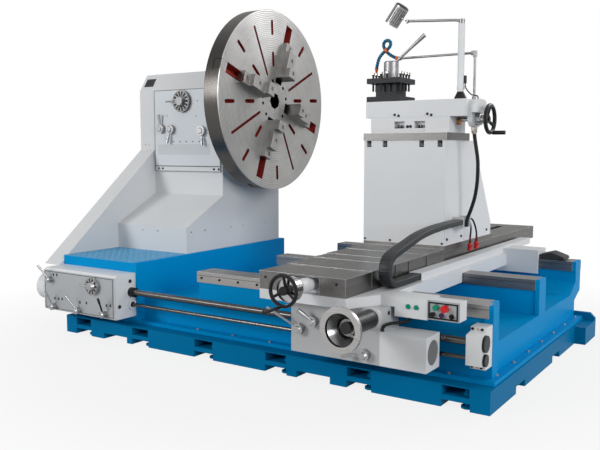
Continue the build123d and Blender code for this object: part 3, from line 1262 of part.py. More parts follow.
def pedestal():
    """Hollow column with a sloping back, and the cable bracket on its right side."""
    column = slab_x(pedestal_outline(0), slide_left, slide_right)
    column -= slab_x(pedestal_outline(PEDESTAL_WALL), slide_left + PEDESTAL_WALL, slide_right - PEDESTAL_WALL)
    width, height = BOLT_POCKET
    for x in PLATE_BOLTS:
        middle = slide_left + x
        column -= block(middle - width / 2, middle + width / 2, SLIDE_FRONT - PAST,
                        SLIDE_FRONT + 2 * PLATE_BOLT_SETBACK, pedestal_top - height, pedestal_top + PAST)
    right = slide_right + BRACKET_ARM
    wall = BRACKET_ARM_PLATE
    column += block(slide_right, right, arm_front, arm_rear, arm_bottom, arm_bottom + wall)
    for y in (arm_front, arm_rear - wall):
        column += block(slide_right, right, y, y + wall, arm_bottom, arm_bottom + BRACKET_ARM_HEIGHT)
    return column


def pedestal_top_plate():
    """Plate with the bolts that hang in the pedestal's front pockets."""
    plate = block(slide_left - TOP_PLATE_LIP, slide_right + TOP_PLATE_LIP, SLIDE_FRONT - TOP_PLATE_LIP,
                  SLIDE_FRONT - TOP_PLATE_LIP + TOP_PLATE_DEPTH, pedestal_top, plate_top)
    low = pedestal_top - PLATE_BOLT_LENGTH
    radius, height = PLATE_NUT
    nut = extrude(Plane.XY.offset(low) * RegularPolygon(radius, 6), height)
    bolt = nut + rod_z(PLATE_BOLT_RADIUS, low, pedestal_top, 0, 0)
    for x in PLATE_BOLTS:
        plate += Pos(slide_left + x, SLIDE_FRONT + PLATE_BOLT_SETBACK, 0) * bolt
    return plate


def dovetail_outline(gap):
    """Dovetail in side view, widened by gap."""
    root = DOVETAIL_ROOT / 2 + gap
    top = DOVETAIL_TOP / 2 + gap
    rise = DOVETAIL_HEIGHT + gap
    return [(compound_y - root, compound_top), (compound_y - top, compound_top + rise),
            (compound_y + top, compound_top + rise), (compound_y + root, compound_top)]


def compound_base():
    """Base of the top slide with its dovetail, clamp windows and a bronze nut in the screw channel."""
    base = block(COMPOUND_LEFT, compound_right, COMPOUND_FRONT, compound_rear, plate_top, compound_top)
    base += slab_x(dovetail_outline(0), COMPOUND_LEFT, compound_right)
    window_low = plate_top + WINDOW_RISE
    for x, width in WINDOWS:
        base -= block(COMPOUND_LEFT + x, COMPOUND_LEFT + x + width, COMPOUND_FRONT - PAST,
                      COMPOUND_FRONT + WINDOW_DEPTH, window_low, window_low + WINDOW_HEIGHT)
    foot = [(COMPOUND_FRONT - BASE_FOOT_REACH, plate_top), (COMPOUND_FRONT, plate_top + BASE_FOOT_HEIGHT),
            (COMPOUND_FRONT + PAST, plate_top + BASE_FOOT_HEIGHT), (COMPOUND_FRONT + PAST, plate_top)]
    base += slab_x(foot, compound_right - BASE_FOOT_LENGTH, compound_right)
    half = SCREW_CHANNEL / 2
    base -= block(COMPOUND_LEFT - PAST, compound_right + PAST, compound_y - half, compound_y + half,
                  compound_top - SCREW_CHANNEL_DEPTH, compound_top)
    nut_left = compound_right - NUT_LENGTH
    nut_right = compound_right + NUT_PROUD
    nut = block(nut_left, compound_right, compound_y - half, compound_y + half,
                compound_top - SCREW_CHANNEL_DEPTH, compound_top)
    nut += rod_x(NUT_RADIUS, compound_right, nut_right, compound_y, compound_screw_z - NUT_RADIUS / 3)
    nut -= rod_x(COMPOUND_SCREW_RADIUS + SLIDE, nut_left - PAST, nut_right + PAST,
                 compound_y, compound_screw_z)
    return [base, nut]


def compound_slide():
    """Top slide on the dovetail, with its rounded end bracket and the stud of the tool post."""
    body = block(top_slide_left, top_slide_right, COMPOUND_FRONT, compound_rear,
                 top_slide_bottom, top_slide_top)
    body -= slab_x(dovetail_outline(SLIDE), top_slide_left - PAST, top_slide_right + PAST)
    half = END_BRACKET_WIDTH / 2
    low = top_slide_bottom - END_BRACKET_DROP
    face = Pos(compound_y, (low + top_slide_top) / 2) * RectangleRounded(
        2 * half, top_slide_top - low, END_BRACKET_ROUND)
    bracket = extrude(Plane.YZ.offset(top_slide_right) * face, END_BRACKET)
    bracket -= rod_x(COMPOUND_SCREW_RADIUS + RUN, top_slide_right - PAST, end_bracket_right + PAST,
                     compound_y, compound_screw_z)
    bracket -= block(top_slide_right + END_BRACKET_PLATE, end_bracket_right + PAST, COMPOUND_FRONT,
                     compound_rear, low - PAST, compound_screw_z + COLLAR_SIZE[0] + LOOSE)
    stud = rod_z(POST_STUD, top_slide_top, post_top, POST_X, compound_y)
    return body + bracket + stud


def compound_handwheel():
    """Screw of the top slide with its graduated collar, bright sleeve and black handwheel."""
    place = Plane(origin=(compound_wheel_x, compound_y, compound_screw_z), x_dir=(0, 1, 0), z_dir=(1, 0, 0))
    collar_radius, collar_width = COLLAR_SIZE
    sleeve_radius, sleeve_width = SLEEVE_SIZE
    profile = [(SLIDE, collar_radius), (collar_width, collar_radius), (collar_width, sleeve_radius),
               (collar_width + sleeve_width, sleeve_radius)]
    collar = turned(profile, Pos(top_slide_right + END_BRACKET_PLATE, compound_y, compound_screw_z))
    screw = rod_x(COMPOUND_SCREW_RADIUS, compound_wheel_x - COMPOUND_SCREW_LENGTH, compound_wheel_x,
                  compound_y, compound_screw_z)
    return place * handwheel(*COMPOUND_WHEEL) + collar + screw


def post_screw_spots():
    """Places of the clamp screws along the four sides of the tool post."""
    def row(count):
        return [(i - (count - 1) / 2) * POST_SCREW_PITCH for i in range(count)]

    edge = POST_PLATE / 2 - POST_SCREW_EDGE
    spots = []
    for side in (-edge, edge):
        spots += [(side, place) for place in row(POST_SIDE_SCREWS)]
        spots += [(place, side) for place in row(POST_END_SCREWS)]
    return spots


def tool_post():
    """Four-way post: base, block and top plate, with square-headed clamp screws."""
    place = Pos(POST_X, compound_y, 0)
    half = POST_PLATE / 2
    core = POST_BLOCK / 2
    post = block(-half, half, -half, half, post_bottom, post_slot_bottom)
    post += block(-core, core, -core, core, post_slot_bottom, post_slot_top)
    post += block(-half, half, -half, half, post_slot_top, post_top)
    post -= rod_z(POST_STUD + RUN, post_bottom - PAST, post_top + PAST, 0, 0)
    screws = []
    for x, y in post_screw_spots():
        post -= rod_z(POST_SCREW_RADIUS, post_slot_top - PAST, post_top + PAST, x, y)
        screw = rod_z(POST_SCREW_RADIUS, post_slot_top - POST_SCREW_BELOW, post_top + POST_SCREW_ABOVE, x, y)
        head = Pos(x, y, post_top + POST_SCREW_ABOVE) * Box(
            POST_SCREW_HEAD, POST_SCREW_HEAD, POST_SCREW_HEAD_HEIGHT, align=ON_FLOOR)
        screws.append(place * (screw + head))
    return [place * post] + screws


def tool_post_lever():
    """Clamp cap on the stud, with a lever that rises to the right."""
    low = post_top + SLIDE
    profile = [(0, CAP_RADIUS), (CAP_HEIGHT - CAP_ROUND, CAP_RADIUS), (CAP_HEIGHT, CAP_RADIUS - CAP_ROUND)]
    cap = turned(profile, Pos(POST_X, compound_y, low) * Rot(0, -90, 0))
    root = Pos(POST_X + CAP_RADIUS / 2, compound_y, low + CAP_HEIGHT - 2 * CAP_ROUND)
    along = root * Rot(0, 90 - POST_LEVER_ANGLE, 0)
    cap += along * Cylinder(POST_LEVER_RADIUS, POST_LEVER, align=ON_FLOOR)
    grip = Cone(POST_LEVER_RADIUS, POST_GRIP_RADIUS, POST_GRIP, align=ON_FLOOR)
    return cap + along * Pos(0, 0, POST_LEVER - 2 * CAP_ROUND) * grip


def lamp_pole():
    """Cone foot, pole with a collar, and spigot, with a small switch on the right."""
    ring_low, ring_high, ring_radius = POLE_RING
    profile = [(0, LAMP_FOOT_RADIUS), (LAMP_FOOT * 0.3, LAMP_FOOT_RADIUS), (LAMP_FOOT, POLE_RADIUS),
               (ring_low, POLE_RADIUS), (ring_low, ring_radius), (ring_high, ring_radius),
               (ring_high, POLE_RADIUS), (POLE_HEIGHT, POLE_RADIUS), (POLE_HEIGHT, SPIGOT_RADIUS),
               (POLE_HEIGHT + SPIGOT, SPIGOT_RADIUS)]
    pole = turned(profile, Pos(LAMP_X, lamp_y, top_slide_top) * Rot(0, -90, 0))
    return pole + Pos(LAMP_X + POLE_RADIUS + LAMP_SWITCH[0] / 3, lamp_y, switch_z) * Box(*LAMP_SWITCH)


def lamp_arm():
    """Collar on the pole's spigot, and the arm that reaches to the left."""
    low = pole_top + SLIDE
    collar = rod_z(COLLAR_RADIUS, low, low + SPIGOT, LAMP_X, lamp_y)
    bend = LAMP_X - LAMP_ARM_ELBOW
    arm = FilletPolyline((LAMP_X, lamp_y, low + SPIGOT / 2), (bend, lamp_y, lamp_arm_z),
                         (eye_x, lamp_y, eye_z), radius=LAMP_ARM_ELBOW)
    section = Plane(origin=arm @ 0, z_dir=arm % 0) * Circle(LAMP_ARM_RADIUS)
    piece = collar + sweep(section, path=arm)
    piece -= rod_z(SPIGOT_RADIUS + RUN, low - PAST, low + SPIGOT + PAST, LAMP_X, lamp_y)
    piece += rod_y(EYE_RADIUS, lamp_y - EYE_WIDTH, lamp_y + LAMP_ARM_RADIUS, eye_x, eye_z)
    return piece + rod_y(EYE_PIN, lamp_y - 3 * EYE_WIDTH, lamp_y, eye_x, eye_z)


def lamp_head():
    """Tilted cylinder with flutes along it, a sunk lens, and an eye at its side."""
    eye_rear = lamp_y - EYE_WIDTH - SLIDE
    eye = rod_y(EYE_RADIUS, eye_rear - EYE_WIDTH, eye_rear, eye_x, eye_z)
    head = rod_z(LAMP_HEAD_RADIUS, 0, LAMP_HEAD, 0, 0)
    for i in range(LAMP_FLUTES):
        flute = rod_z(LAMP_FLUTE_RADIUS, LAMP_FLUTE_MARGIN, LAMP_HEAD - LAMP_FLUTE_MARGIN,
                      LAMP_HEAD_RADIUS + LAMP_FLUTE_RADIUS / 3, 0)
        head -= Rot(0, 0, i * 360 / LAMP_FLUTES) * flute
    head -= rod_z(LAMP_HEAD_RADIUS - LAMP_LENS, -PAST, LAMP_LENS, 0, 0)
    neck_y = eye_rear - EYE_WIDTH / 2
    neck = Pos(0, neck_y - lamp_y, 0) * rod_x(LAMP_ARM_RADIUS / 2, -LAMP_HEAD_OFFSET, 0, 0, 0)
    tilt = Pos(eye_x, lamp_y, eye_z) * Rot(0, LAMP_TILT, 0)
    piece = tilt * (Pos(-LAMP_HEAD_OFFSET, 0, -LAMP_HEAD_DROP) * head + neck) + eye
    return piece - rod_y(EYE_PIN + RUN, eye_rear - 2 * EYE_WIDTH, eye_rear + PAST, eye_x, eye_z)


def coolant_pipe():
    """Riser on the top slide, elbow and long level pipe to the hose."""
    riser = rod_z(PIPE_RADIUS, top_slide_top, pipe_z, PIPE_X, pipe_y)
    riser += rod_z(FITTING_RADIUS, top_slide_top, top_slide_top + FITTING, PIPE_X, pipe_y)
    riser += rod_z(FITTING_RADIUS, pipe_z - FITTING, pipe_z + FITTING_RADIUS, PIPE_X, pipe_y)
    pipe = riser + rod_x(PIPE_RADIUS, pipe_end_x, PIPE_X, pipe_y, pipe_z)
    pipe += rod_x(FITTING_RADIUS, PIPE_X - FITTING, PIPE_X, pipe_y, pipe_z)
    return pipe + rod_x(FITTING_RADIUS, pipe_end_x, pipe_end_x + FITTING, pipe_y, pipe_z)


def hose_route():
    """Points of the hose from the end of the pipe, round its loop and down to its tip."""
    shape = [(0, 0, 0), (-46, 0, 18), (-88, -1, 52), (-113, -4, 90), (-104, -9, 122), (-72, -14, 132),
             (-44, -20, 112), (-50, -26, 78), (-84, -30, 54), (-117, -31, 28), (-140, -31, -10),
             (-151, -30, -66)]
    return [(pipe_end_x + x, pipe_y + y, pipe_z + z) for x, y, z in shape]


def coolant_hose():
    """Jointed hose: a ring at every rib, and a bore all the way."""
    path = Spline(*hose_route(), tangents=[(-1, 0, 0), (-0.15, 0, -0.99)])

    def ring(share, radius):
        return Plane(origin=path @ share, x_dir=(0, 1, 0), z_dir=path % share) * Circle(radius)

    rib = ((0.0, HOSE_VALLEY), (0.2, HOSE_RADIUS), (0.65, HOSE_RADIUS), (0.85, HOSE_VALLEY))
    outer = []
    inner = []
    for i in range(HOSE_RIBS):
        start = i / HOSE_RIBS
        for part, radius in rib:
            outer.append(ring(start + part / HOSE_RIBS, radius))
        inner.append(ring(start, HOSE_BORE))
    outer.append(ring(1.0, HOSE_VALLEY))
    inner.append(ring(1.0, HOSE_BORE))
    return loft(outer, ruled=True) - loft(inner, ruled=True)


def slide_cables():
    """Cable from the end bracket down into the pedestal's bracket, and the lamp's cable."""
    x = top_slide_right + END_BRACKET_PLATE / 2
    y = compound_y
    z = top_slide_bottom - END_BRACKET_DROP
    end_x = slide_right + BRACKET_ARM * CABLE_SEAT
    end_y = arm_rear - BRACKET_ARM * (1 - CABLE_SEAT)
    floor = arm_bottom + BRACKET_ARM_PLATE
    feed = tube([(x, y, z), (x, y, z - 50), (x + 14, y + 3, z - 130), (x + 24, y + 14, z - 215),
                 (x + 22, y + 24, z - 280), (x + 14, y + 38, z - 373), (x - 4, y + 52, z - 460),
                 (x - 24, y + 60, z - 520), (x - 46, y + 66, z - 576), (end_x, end_y, floor + 44),
                 (end_x, end_y, floor)], CABLE_RADIUS)
    x = LAMP_X + POLE_RADIUS + LAMP_SWITCH[0] / 2
    z = switch_z - LAMP_SWITCH[2] / 2
    end_x = top_slide_right + END_BRACKET / 2
    y = lamp_y
    floor = top_slide_top
    lamp = tube([(x, y, z), (x, y, z - 21), (x + 14, y - 3, z - 44), (x + 34, y - 7, z - 64),
                 (end_x - 44, y - 11, floor + 29), (end_x - 18, y - 14, floor + 28),
                 (end_x, y - 15, floor + 20), (end_x, y - 15, floor)], LAMP_CABLE_RADIUS)
    return [feed, lamp]


def plug_leads():
    """Two leads from the cable bracket, each with a round plug that hangs beside the slide."""
    right = slide_right + BRACKET_ARM
    top = arm_bottom + BRACKET_ARM_HEIGHT
    routes = {right - 9: [(0, -18), (45, -18), (100, -60), (140, -114), (145, -151), (145, -165)],
              right - 25: [(0, -36), (36, -38), (66, -60), (78, -94), (74, -128), (66, -152), (66, -172)]}
    pieces = []
    for x, route in routes.items():
        pieces.append(tube([(x, arm_rear + y, top + z) for y, z in route], LEAD_RADIUS))
        y, z = route[-1]
        pieces.append(rod_z(PLUG_RADIUS, top + z - PLUG_LENGTH, top + z, x, arm_rear + y))
    return pieces


def cable_duct():
    """Flat duct from the pedestal's bracket, over a half turn at the front and back into the trough."""
    arch = JernArc(start=(arm_front, arm_bottom + DUCT_RISE), tangent=(-1, 0), radius=DUCT_ARCH,
                   arc_size=DUCT_SWEEP)
    lower_z = saddle_top + TROUGH_WALL + SLIDE + DUCT_THICKNESS / 2
    radius = ((arch @ 1).Y - lower_z) / (1 + math.cos(math.radians(DUCT_SWEEP)))
    turn = JernArc(start=arch @ 1, tangent=arch % 1, radius=radius, arc_size=180 - DUCT_SWEEP)
    lower = Line(turn @ 1, turn @ 1 + Vector(DUCT_RETURN, 0))
    band = trace([arch, turn, lower], DUCT_THICKNESS)
    left = trough_left + TROUGH_WALL + SLIDE
    return extrude(Plane.YZ.offset(left) * band, DUCT_WIDTH)


def nodes():
    """All pieces by name."""
    pieces = {
        "base_frame": base_frame(),
        "bed_casting": bed_casting(),
        "bed_ways": bed_ways(),
        "headstock_housing": headstock_housing(),
        "spindle_bearings": spindle_bearings(),
        "gearbox_housing": gearbox_housing(),
        "screw_end_bracket": screw_end_bracket(),
        "drive_shaft": drive_shaft(),
        "spindle": spindle(),
        "faceplate": faceplate(),
        "lead_screw": lead_screw(),
        "feed_rod": feed_rod(),
        "saddle": saddle(),
        "cross_way": cross_way(),
        "apron": apron(),
        "rapid_motor_cover": rapid_motor_cover(),
        "motor_cable": motor_cable(),
        "control_box": control_box(),
        "apron_handwheel": apron_handwheel(),
        "cross_handwheel": cross_handwheel(),
        "cross_slide": cross_slide(),
        "pedestal": pedestal(),
        "pedestal_top_plate": pedestal_top_plate(),
        "compound_base": compound_base(),
        "compound_slide": compound_slide(),
        "compound_handwheel": compound_handwheel(),
        "tool_post": tool_post(),
        "tool_post_lever": tool_post_lever(),
        "lamp_pole": lamp_pole(),
        "lamp_arm": lamp_arm(),
        "lamp_head": lamp_head(),
        "coolant_pipe": coolant_pipe(),
        "coolant_hose": coolant_hose(),
        "slide_cables": slide_cables(),
        "plug_leads": plug_leads(),
        "cable_duct": cable_duct(),
    }
    for i, angle in enumerate(jaw_angles(), 1):
        pieces[f"jaw_{i}"] = at_angle(angle, jaw())
    for i, (front, length) in enumerate(zip(COVER_FRONTS, COVER_LENGTHS)):
        pieces[f"way_cover_{i + 1}"] = way_cover(i, front, front + length)
    return pieces | speed_controls() | feed_controls() | apron_levers() | buttons()


os.makedirs("parts", exist_ok=True)
for name, piece in nodes().items():
    solids = piece if isinstance(piece, list) else [piece]
    export_step(Compound(children=[s for p in solids for s in p.solids()]), f"parts/{name}.step")
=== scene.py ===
import bmesh
import bpy
import math
from mathutils import Matrix, Vector

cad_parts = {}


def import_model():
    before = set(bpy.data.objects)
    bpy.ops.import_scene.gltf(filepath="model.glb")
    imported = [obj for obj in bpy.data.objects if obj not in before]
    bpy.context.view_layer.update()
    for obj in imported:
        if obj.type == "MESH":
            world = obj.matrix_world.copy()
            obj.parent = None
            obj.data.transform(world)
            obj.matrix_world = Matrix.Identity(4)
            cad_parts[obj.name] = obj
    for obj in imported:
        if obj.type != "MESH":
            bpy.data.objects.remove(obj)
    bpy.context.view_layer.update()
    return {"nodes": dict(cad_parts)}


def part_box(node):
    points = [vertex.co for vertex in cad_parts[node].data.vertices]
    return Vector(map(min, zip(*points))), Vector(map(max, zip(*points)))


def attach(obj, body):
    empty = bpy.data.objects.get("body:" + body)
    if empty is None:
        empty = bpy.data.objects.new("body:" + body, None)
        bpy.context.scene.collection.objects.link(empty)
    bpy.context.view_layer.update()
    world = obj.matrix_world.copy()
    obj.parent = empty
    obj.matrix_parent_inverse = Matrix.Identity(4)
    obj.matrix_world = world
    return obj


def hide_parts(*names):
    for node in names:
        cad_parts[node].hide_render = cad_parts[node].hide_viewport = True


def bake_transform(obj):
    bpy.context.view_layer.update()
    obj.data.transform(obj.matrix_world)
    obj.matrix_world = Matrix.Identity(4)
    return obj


# Looks of the facing lathe: materials, cables, small pieces, camera and light.
# The frame is the CAD's: +X along the spindle, +Y to the rear, +Z up. Sizes here are in millimetres
# unless a comment says otherwise, and MM turns them into Blender's metres.

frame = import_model()
nodes = frame["nodes"]
MM = 0.001
X, Y, Z = range(3)
FRONT = (0, -1, 0)
RIGHT = (1, 0, 0)
UP = (0, 0, 1)
DOWN = (0, 0, -1)

# Camera, fitted to the photograph: place in metres, angles in degrees, lens in millimetres
CAMERA_AT = (2.813, -4.547, 1.327)
CAMERA_TURN = 33.576
CAMERA_PITCH = 5.723
CAMERA_LENS = 44.8

# Surroundings: their light on the object, and the darker room that mirrors see on one side
DIFFUSE_LIGHT = 0.42
ROOM_DARK = 0.32
ROOM_LIGHT_SIDE = (0.45, 0.2, 0.87)
ROOM_FADE = (0.25, 0.6)
WHITE = (1, 1, 1, 1)

# Floor: half its width and the distances of its fade in metres, and its share of plain white
FLOOR_REACH = 40
FLOOR_FADE = (1.8, 3.4)
FLOOR_WHITE = (0.84, 1.0)
FLOOR_MIRROR = 0.55
FLOOR_GREY = (0.45, 0.45, 0.45, 1)
FLOOR_ROUGH = 0.9

# Studio lamps: place and width in metres, and watts
STUDIO_LAMPS = {
    "key": ((-6.4, -10.0, 4.4), 3.6, 640.0),
    "fill": ((20.0, -7.3, 6.8), 9.0, 2150.0),
    "rear": ((4.8, 8.2, 7.2), 3.5, 300.0),
    "top": ((-0.5, 0.0, 6.5), 5.0, 15.0),
}
STUDIO_AIM = (-0.3, 0.0, 0.9)

# Colours, linear
BLUE = (0.0, 0.25, 0.56)
TREAD_BLUE = (0.10, 0.34, 0.58)
LOZENGE_WORN_AND_HIGHLIT_BLUE = (0.19, 0.46, 0.68)
HOSE_BLUE = (0.0, 0.10, 0.19)
WHITE_PAINT = (0.66, 0.675, 0.69)
PANEL_WHITE = (0.61, 0.645, 0.675)
ALUMINIUM = (0.40, 0.42, 0.435)
STEEL = (0.42, 0.41, 0.40)
BRIGHT = (0.50, 0.50, 0.51)
SATIN_STEEL = (0.32, 0.32, 0.33)
JAW_STEEL = (0.34, 0.335, 0.325)
DARK_STEEL = (0.15, 0.145, 0.14)
WORN_AND_HIGHLIT_STEEL = (0.72, 0.72, 0.73)
CAST_DARK = (0.34, 0.335, 0.33)
CAST_LIGHT = (0.54, 0.535, 0.53)
TURNED_LIGHT = (0.62, 0.62, 0.61)
RIM_BROWN = (0.10, 0.094, 0.088)
OXIDE = (0.019, 0.021, 0.025)
BLACK = (0.006, 0.006, 0.007)
RUBBER = (0.008, 0.008, 0.009)
RED = (0.36, 0.022, 0.014)
STOP_RED = (0.60, 0.012, 0.012)
PLUG_RED = (0.50, 0.015, 0.02)
PURPLE = (0.045, 0.012, 0.07)
BRONZE = (0.52, 0.24, 0.09)
BRASS = (0.6, 0.38, 0.12)
GREEN = (0.0, 0.26, 0.14)
ORANGE = (0.72, 0.13, 0.03)

# Specular level of the blue paint, which is nearly matt
BLUE_GLOSS = 0.03

# Roughness of shiny mouldings
BUTTON_ROUGH = (0.2, 0.3)
FITTING_ROUGH = (0.25, 0.4)

# Wear and painted highlight along edges: its width, and how far two normals agree where it starts and ends
EDGE_WEAR_AND_HIGHLIGHT_WIDTH = 4.0
EDGE_WEAR_AND_HIGHLIGHT_BEND = (0.86, 0.985)

# Finish of a patch: colour, metallic, roughness
PLAIN_BLACK = (BLACK, 0.0, 0.4)
CHROME = (BRIGHT, 1.0, 0.16)
SATIN = (ALUMINIUM, 0.55, 0.42)


def corners(name):
    """Lowest and highest corner of a CAD node, in millimetres."""
    low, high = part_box(name)
    return Vector(low) / MM, Vector(high) / MM


def middle(name):
    """Centre of a CAD node's box, in millimetres."""
    low, high = corners(name)
    return (low + high) / 2


# Places that the CAD's boxes give
FACE_FRONT = corners("faceplate")[1].x
SPINDLE = middle("faceplate")
FACE_RADIUS = corners("faceplate")[1].z - SPINDLE.z
HEAD_RIGHT = corners("headstock_housing")[1].x
GEAR_FRONT = corners("gearbox_housing")[0].y
COVER_RIGHT = corners("rapid_motor_cover")[1].x

# Places on the headstock that one box doesn't give
HEAD_FACE = 50.0
PANEL_FRONT = 38.0
PANEL_SPAN = (-1694.0, -986.0)
STRIP_FOOT = 1153.0
PANEL_FOOT = 1197.0
PANEL_TOP = 1820.0
BLOCK_SPAN = (-1660.0, -1090.0)
BLOCK_RISE = (1290.0, 1375.0)
GUARD_MIDDLE = -1790.0
GUARD_SLOPE = (0.0, -0.635, 0.772)
CHAMFER_SLOPE = (0.0, -144.0, 90.0)
SPEED_DIAL_AT = (-1373.0, 1722.0)
SPEED_DIAL_DEPTH = 26.3
SPEED_DIAL_RADIUS = 88.0

# The faceplate's rings, distances from its front, its edge or the spindle, and the jaws' angle in degrees
RING_PITCH = 14.0
FACE_SKIN = 3.0
SLOT_FLOOR = 100.0
RIM_SETBACK = 6.0
RIM_WIDTH = 8.0
BARE_RADIUS = 200.0
JAW_ANGLE = 19.4
JAW_SCREW_DEPTH = 58.0
JAW_SCREW_RECESS = 6.0
CHANNEL_HALF_WIDTH = 42.0

# Places on the bed and the gearbox
PLATFORM_TOP = 551.0
PLATFORM_BACK = -380.0
PLATFORM_RIGHT = -985.0
FRONT_WAY_BACK = -600.0
WAY_SEAM = (25.0, 22.0)
GEAR_SPAN = (-1676.0, -972.0)
GEAR_RISE = (196.0, 462.0)
GEAR_SIDE = -960.0
FEED_DIAL_AT = (-1161.0, 400.0)
FEED_DIAL_DEPTH = 22.3
FEED_DIAL_RADIUS = 60.0
BLACK_LEVER_HUB_HEIGHT = 218.0
BLACK_LEVER_HUB_RADIUS = 25.0
SCREW_SEAL_RADIUS = 34.0
ROD_SEAL_RADIUS = 20.0
BEARING_CAP_DEPTH = 13.5

# Places on the carriage
SADDLE_FRONT = -1040.0
SIGNALS = ((1163.0, 515.0), (1209.0, 515.0))
SIGNAL_RADIUS = 12.0
SIGNAL_MARGIN = 20.0
BOX_RIM_DEPTH = 12.0
BOX_PLATE_DEPTH = 3.5
CROSS_WHEEL = (668.0, 613.0)
CROSS_COLLAR_FRONT = -1441.0
COLLAR_RADIUS = 70.0
APRON_WHEEL = (1014.0, 459.0)
BOWL_BACK = -1408.0
BOWL_RADIUS = 84.0
DRUM_FRONT = -1416.0
DRUM_RADIUS = 51.0
DRUM_NUT_RADIUS = 31.0
GRILLE = (-1077.5, 301.5)
WIPER_FRONT = 968.0

# Places on the slides and the work lamp
T_BOLT_DROP = 51.0
BRONZE_NUT_LENGTH = 23.0
COMPOUND_SCREW = (176.0, 1527.3)
COMPOUND_COLLAR_END = 1131.0
CLAMP_SCREW_HEAD = 14.0
POLE_FOOT_HEIGHT = 56.0
POLE_SWITCH_DEPTH = 16.0
LAMP_FOOT = (420.5, 200.0, 2191.1)
LAMP_TIP = (503.8, 200.0, 2303.6)
LAMP_AXIS = (0.595, 0.0, 0.804)
FLUTE_RADIUS = 49.3


# Material kit

def blank(name):
    """New material with its node tree and its shader."""
    mat = bpy.data.materials.new(name)
    mat.use_nodes = True
    tree = mat.node_tree
    return mat, tree, tree.nodes["Principled BSDF"]


def node(tree, kind, links=(), **values):
    """Adds a node, sets its properties and sockets by name, and joins the sockets in links."""
    new = tree.nodes.new(kind)
    for key, value in values.items():
        if hasattr(new, key):
            setattr(new, key, value)
        else:
            new.inputs[key.replace("_", " ")].default_value = value
    for socket, source in dict(links).items():
        tree.links.new(source, new.inputs[socket])
    return new


def fill(tree, sockets, values):
    """Gives each socket its value, which is plain or another node's output."""
    for socket, value in zip(sockets, values):
        if isinstance(value, bpy.types.NodeSocket):
            tree.links.new(value, socket)
        else:
            socket.default_value = value


def maths(tree, operation, *values):
    """Arithmetic with numbers."""
    new = node(tree, "ShaderNodeMath", operation=operation)
    fill(tree, new.inputs, values)
    return new.outputs["Value"]


def vectors(tree, operation, *values):
    """Arithmetic with vectors, which gives a vector or a number."""
    new = node(tree, "ShaderNodeVectorMath", operation=operation)
    fill(tree, new.inputs, values)
    return new.outputs["Value" if operation in ("DISTANCE", "DOT_PRODUCT", "LENGTH") else "Vector"]


def position(tree):
    """Place on the part, in metres."""
    return node(tree, "ShaderNodeTexCoord").outputs["Object"]


def along(tree, axis):
    """Place along one axis, in metres."""
    return node(tree, "ShaderNodeSeparateXYZ", {"Vector": position(tree)}).outputs["XYZ"[axis]]


def even(scale):
    """The same grain along every axis."""
    return (scale, scale, scale)


def noise(tree, scale, detail=3.0):
    """Grain with its own scale along each axis."""
    stretched = node(tree, "ShaderNodeMapping", {"Vector": position(tree)}, Scale=scale)
    return node(tree, "ShaderNodeTexNoise", {"Vector": stretched.outputs["Vector"]}, Scale=1.0,
                Detail=detail).outputs["Fac"]


def blend_colour(tree, share, *colours):
    """Mix of two colours, each a tuple or another node's output."""
    mix = node(tree, "ShaderNodeMix", {"Factor": share}, data_type="RGBA")
    fill(tree, mix.inputs[6:8], [(*c, 1) if isinstance(c, tuple) else c for c in colours])
    return mix.outputs[2]


def spread(tree, value, low, high, start=0.3, end=0.7):
    """Maps a grain onto a range of values."""
    return node(tree, "ShaderNodeMapRange", {"Value": value}, From_Min=start, From_Max=end, To_Min=low,
                To_Max=high).outputs["Result"]


def relief(tree, shader, height, depth, edge):
    """Bump, on top of softly broken edges where an edge is given; both sizes in metres."""
    links = {"Height": height}
    if edge:
        links["Normal"] = node(tree, "ShaderNodeBevel", samples=4, Radius=edge).outputs["Normal"]
    bump = node(tree, "ShaderNodeBump", links, Strength=1.0, Distance=depth)
    tree.links.new(bump.outputs["Normal"], shader.inputs["Normal"])


def edges(tree, grain):
    """Share of wear and painted highlight along sharp edges, broken up by a grain."""
    soft = node(tree, "ShaderNodeBevel", samples=6, Radius=EDGE_WEAR_AND_HIGHLIGHT_WIDTH * MM).outputs["Normal"]
    flat = node(tree, "ShaderNodeNewGeometry").outputs["Normal"]
    sharp = spread(tree, vectors(tree, "DOT_PRODUCT", soft, flat), 1.0, 0.0, *EDGE_WEAR_AND_HIGHLIGHT_BEND)
    return maths(tree, "MULTIPLY", sharp, spread(tree, grain, 0.4, 1.0))


def shade(colour, factor):
    """Darker or lighter colour."""
    return tuple(c * factor for c in colour)


# Masks: where on the part a patch of another finish lies, in millimetres

def combined(operation, masks):
    """Joins masks with one arithmetic operation."""
    def mask(tree):
        result = masks[0](tree)
        for other in masks[1:]:
            result = maths(tree, operation, result, other(tree))
        return result
    return mask


def all_of(*masks):
    """Where every mask holds."""
    return combined("MULTIPLY", masks)


def any_of(*masks):
    """Where at least one mask holds."""
    return combined("MAXIMUM", masks)


def beyond(axis, limit):
    """Past a limit along one axis."""
    return lambda tree: maths(tree, "GREATER_THAN", along(tree, axis), limit * MM)


def before(axis, limit):
    """Short of a limit along one axis."""
    return lambda tree: maths(tree, "LESS_THAN", along(tree, axis), limit * MM)


def between(axis, low, high):
    """Between two limits along one axis."""
    return all_of(beyond(axis, low), before(axis, high))


def radius_from(tree, axis, centre):
    """Distance from a line along one axis, in metres."""
    spot = [value * MM for value in centre]
    spot.insert(axis, 0.0)
    flat = vectors(tree, "MULTIPLY", position(tree), [0.0 if i == axis else 1.0 for i in (X, Y, Z)])
    return vectors(tree, "DISTANCE", flat, spot)


def within(axis, centre, radius):
    """Closer than a radius to a line along one axis."""
    return lambda tree: maths(tree, "LESS_THAN", radius_from(tree, axis, centre), radius * MM)


def outside(axis, centre, radius):
    """Farther than a radius from a line along one axis."""
    return lambda tree: maths(tree, "GREATER_THAN", radius_from(tree, axis, centre), radius * MM)


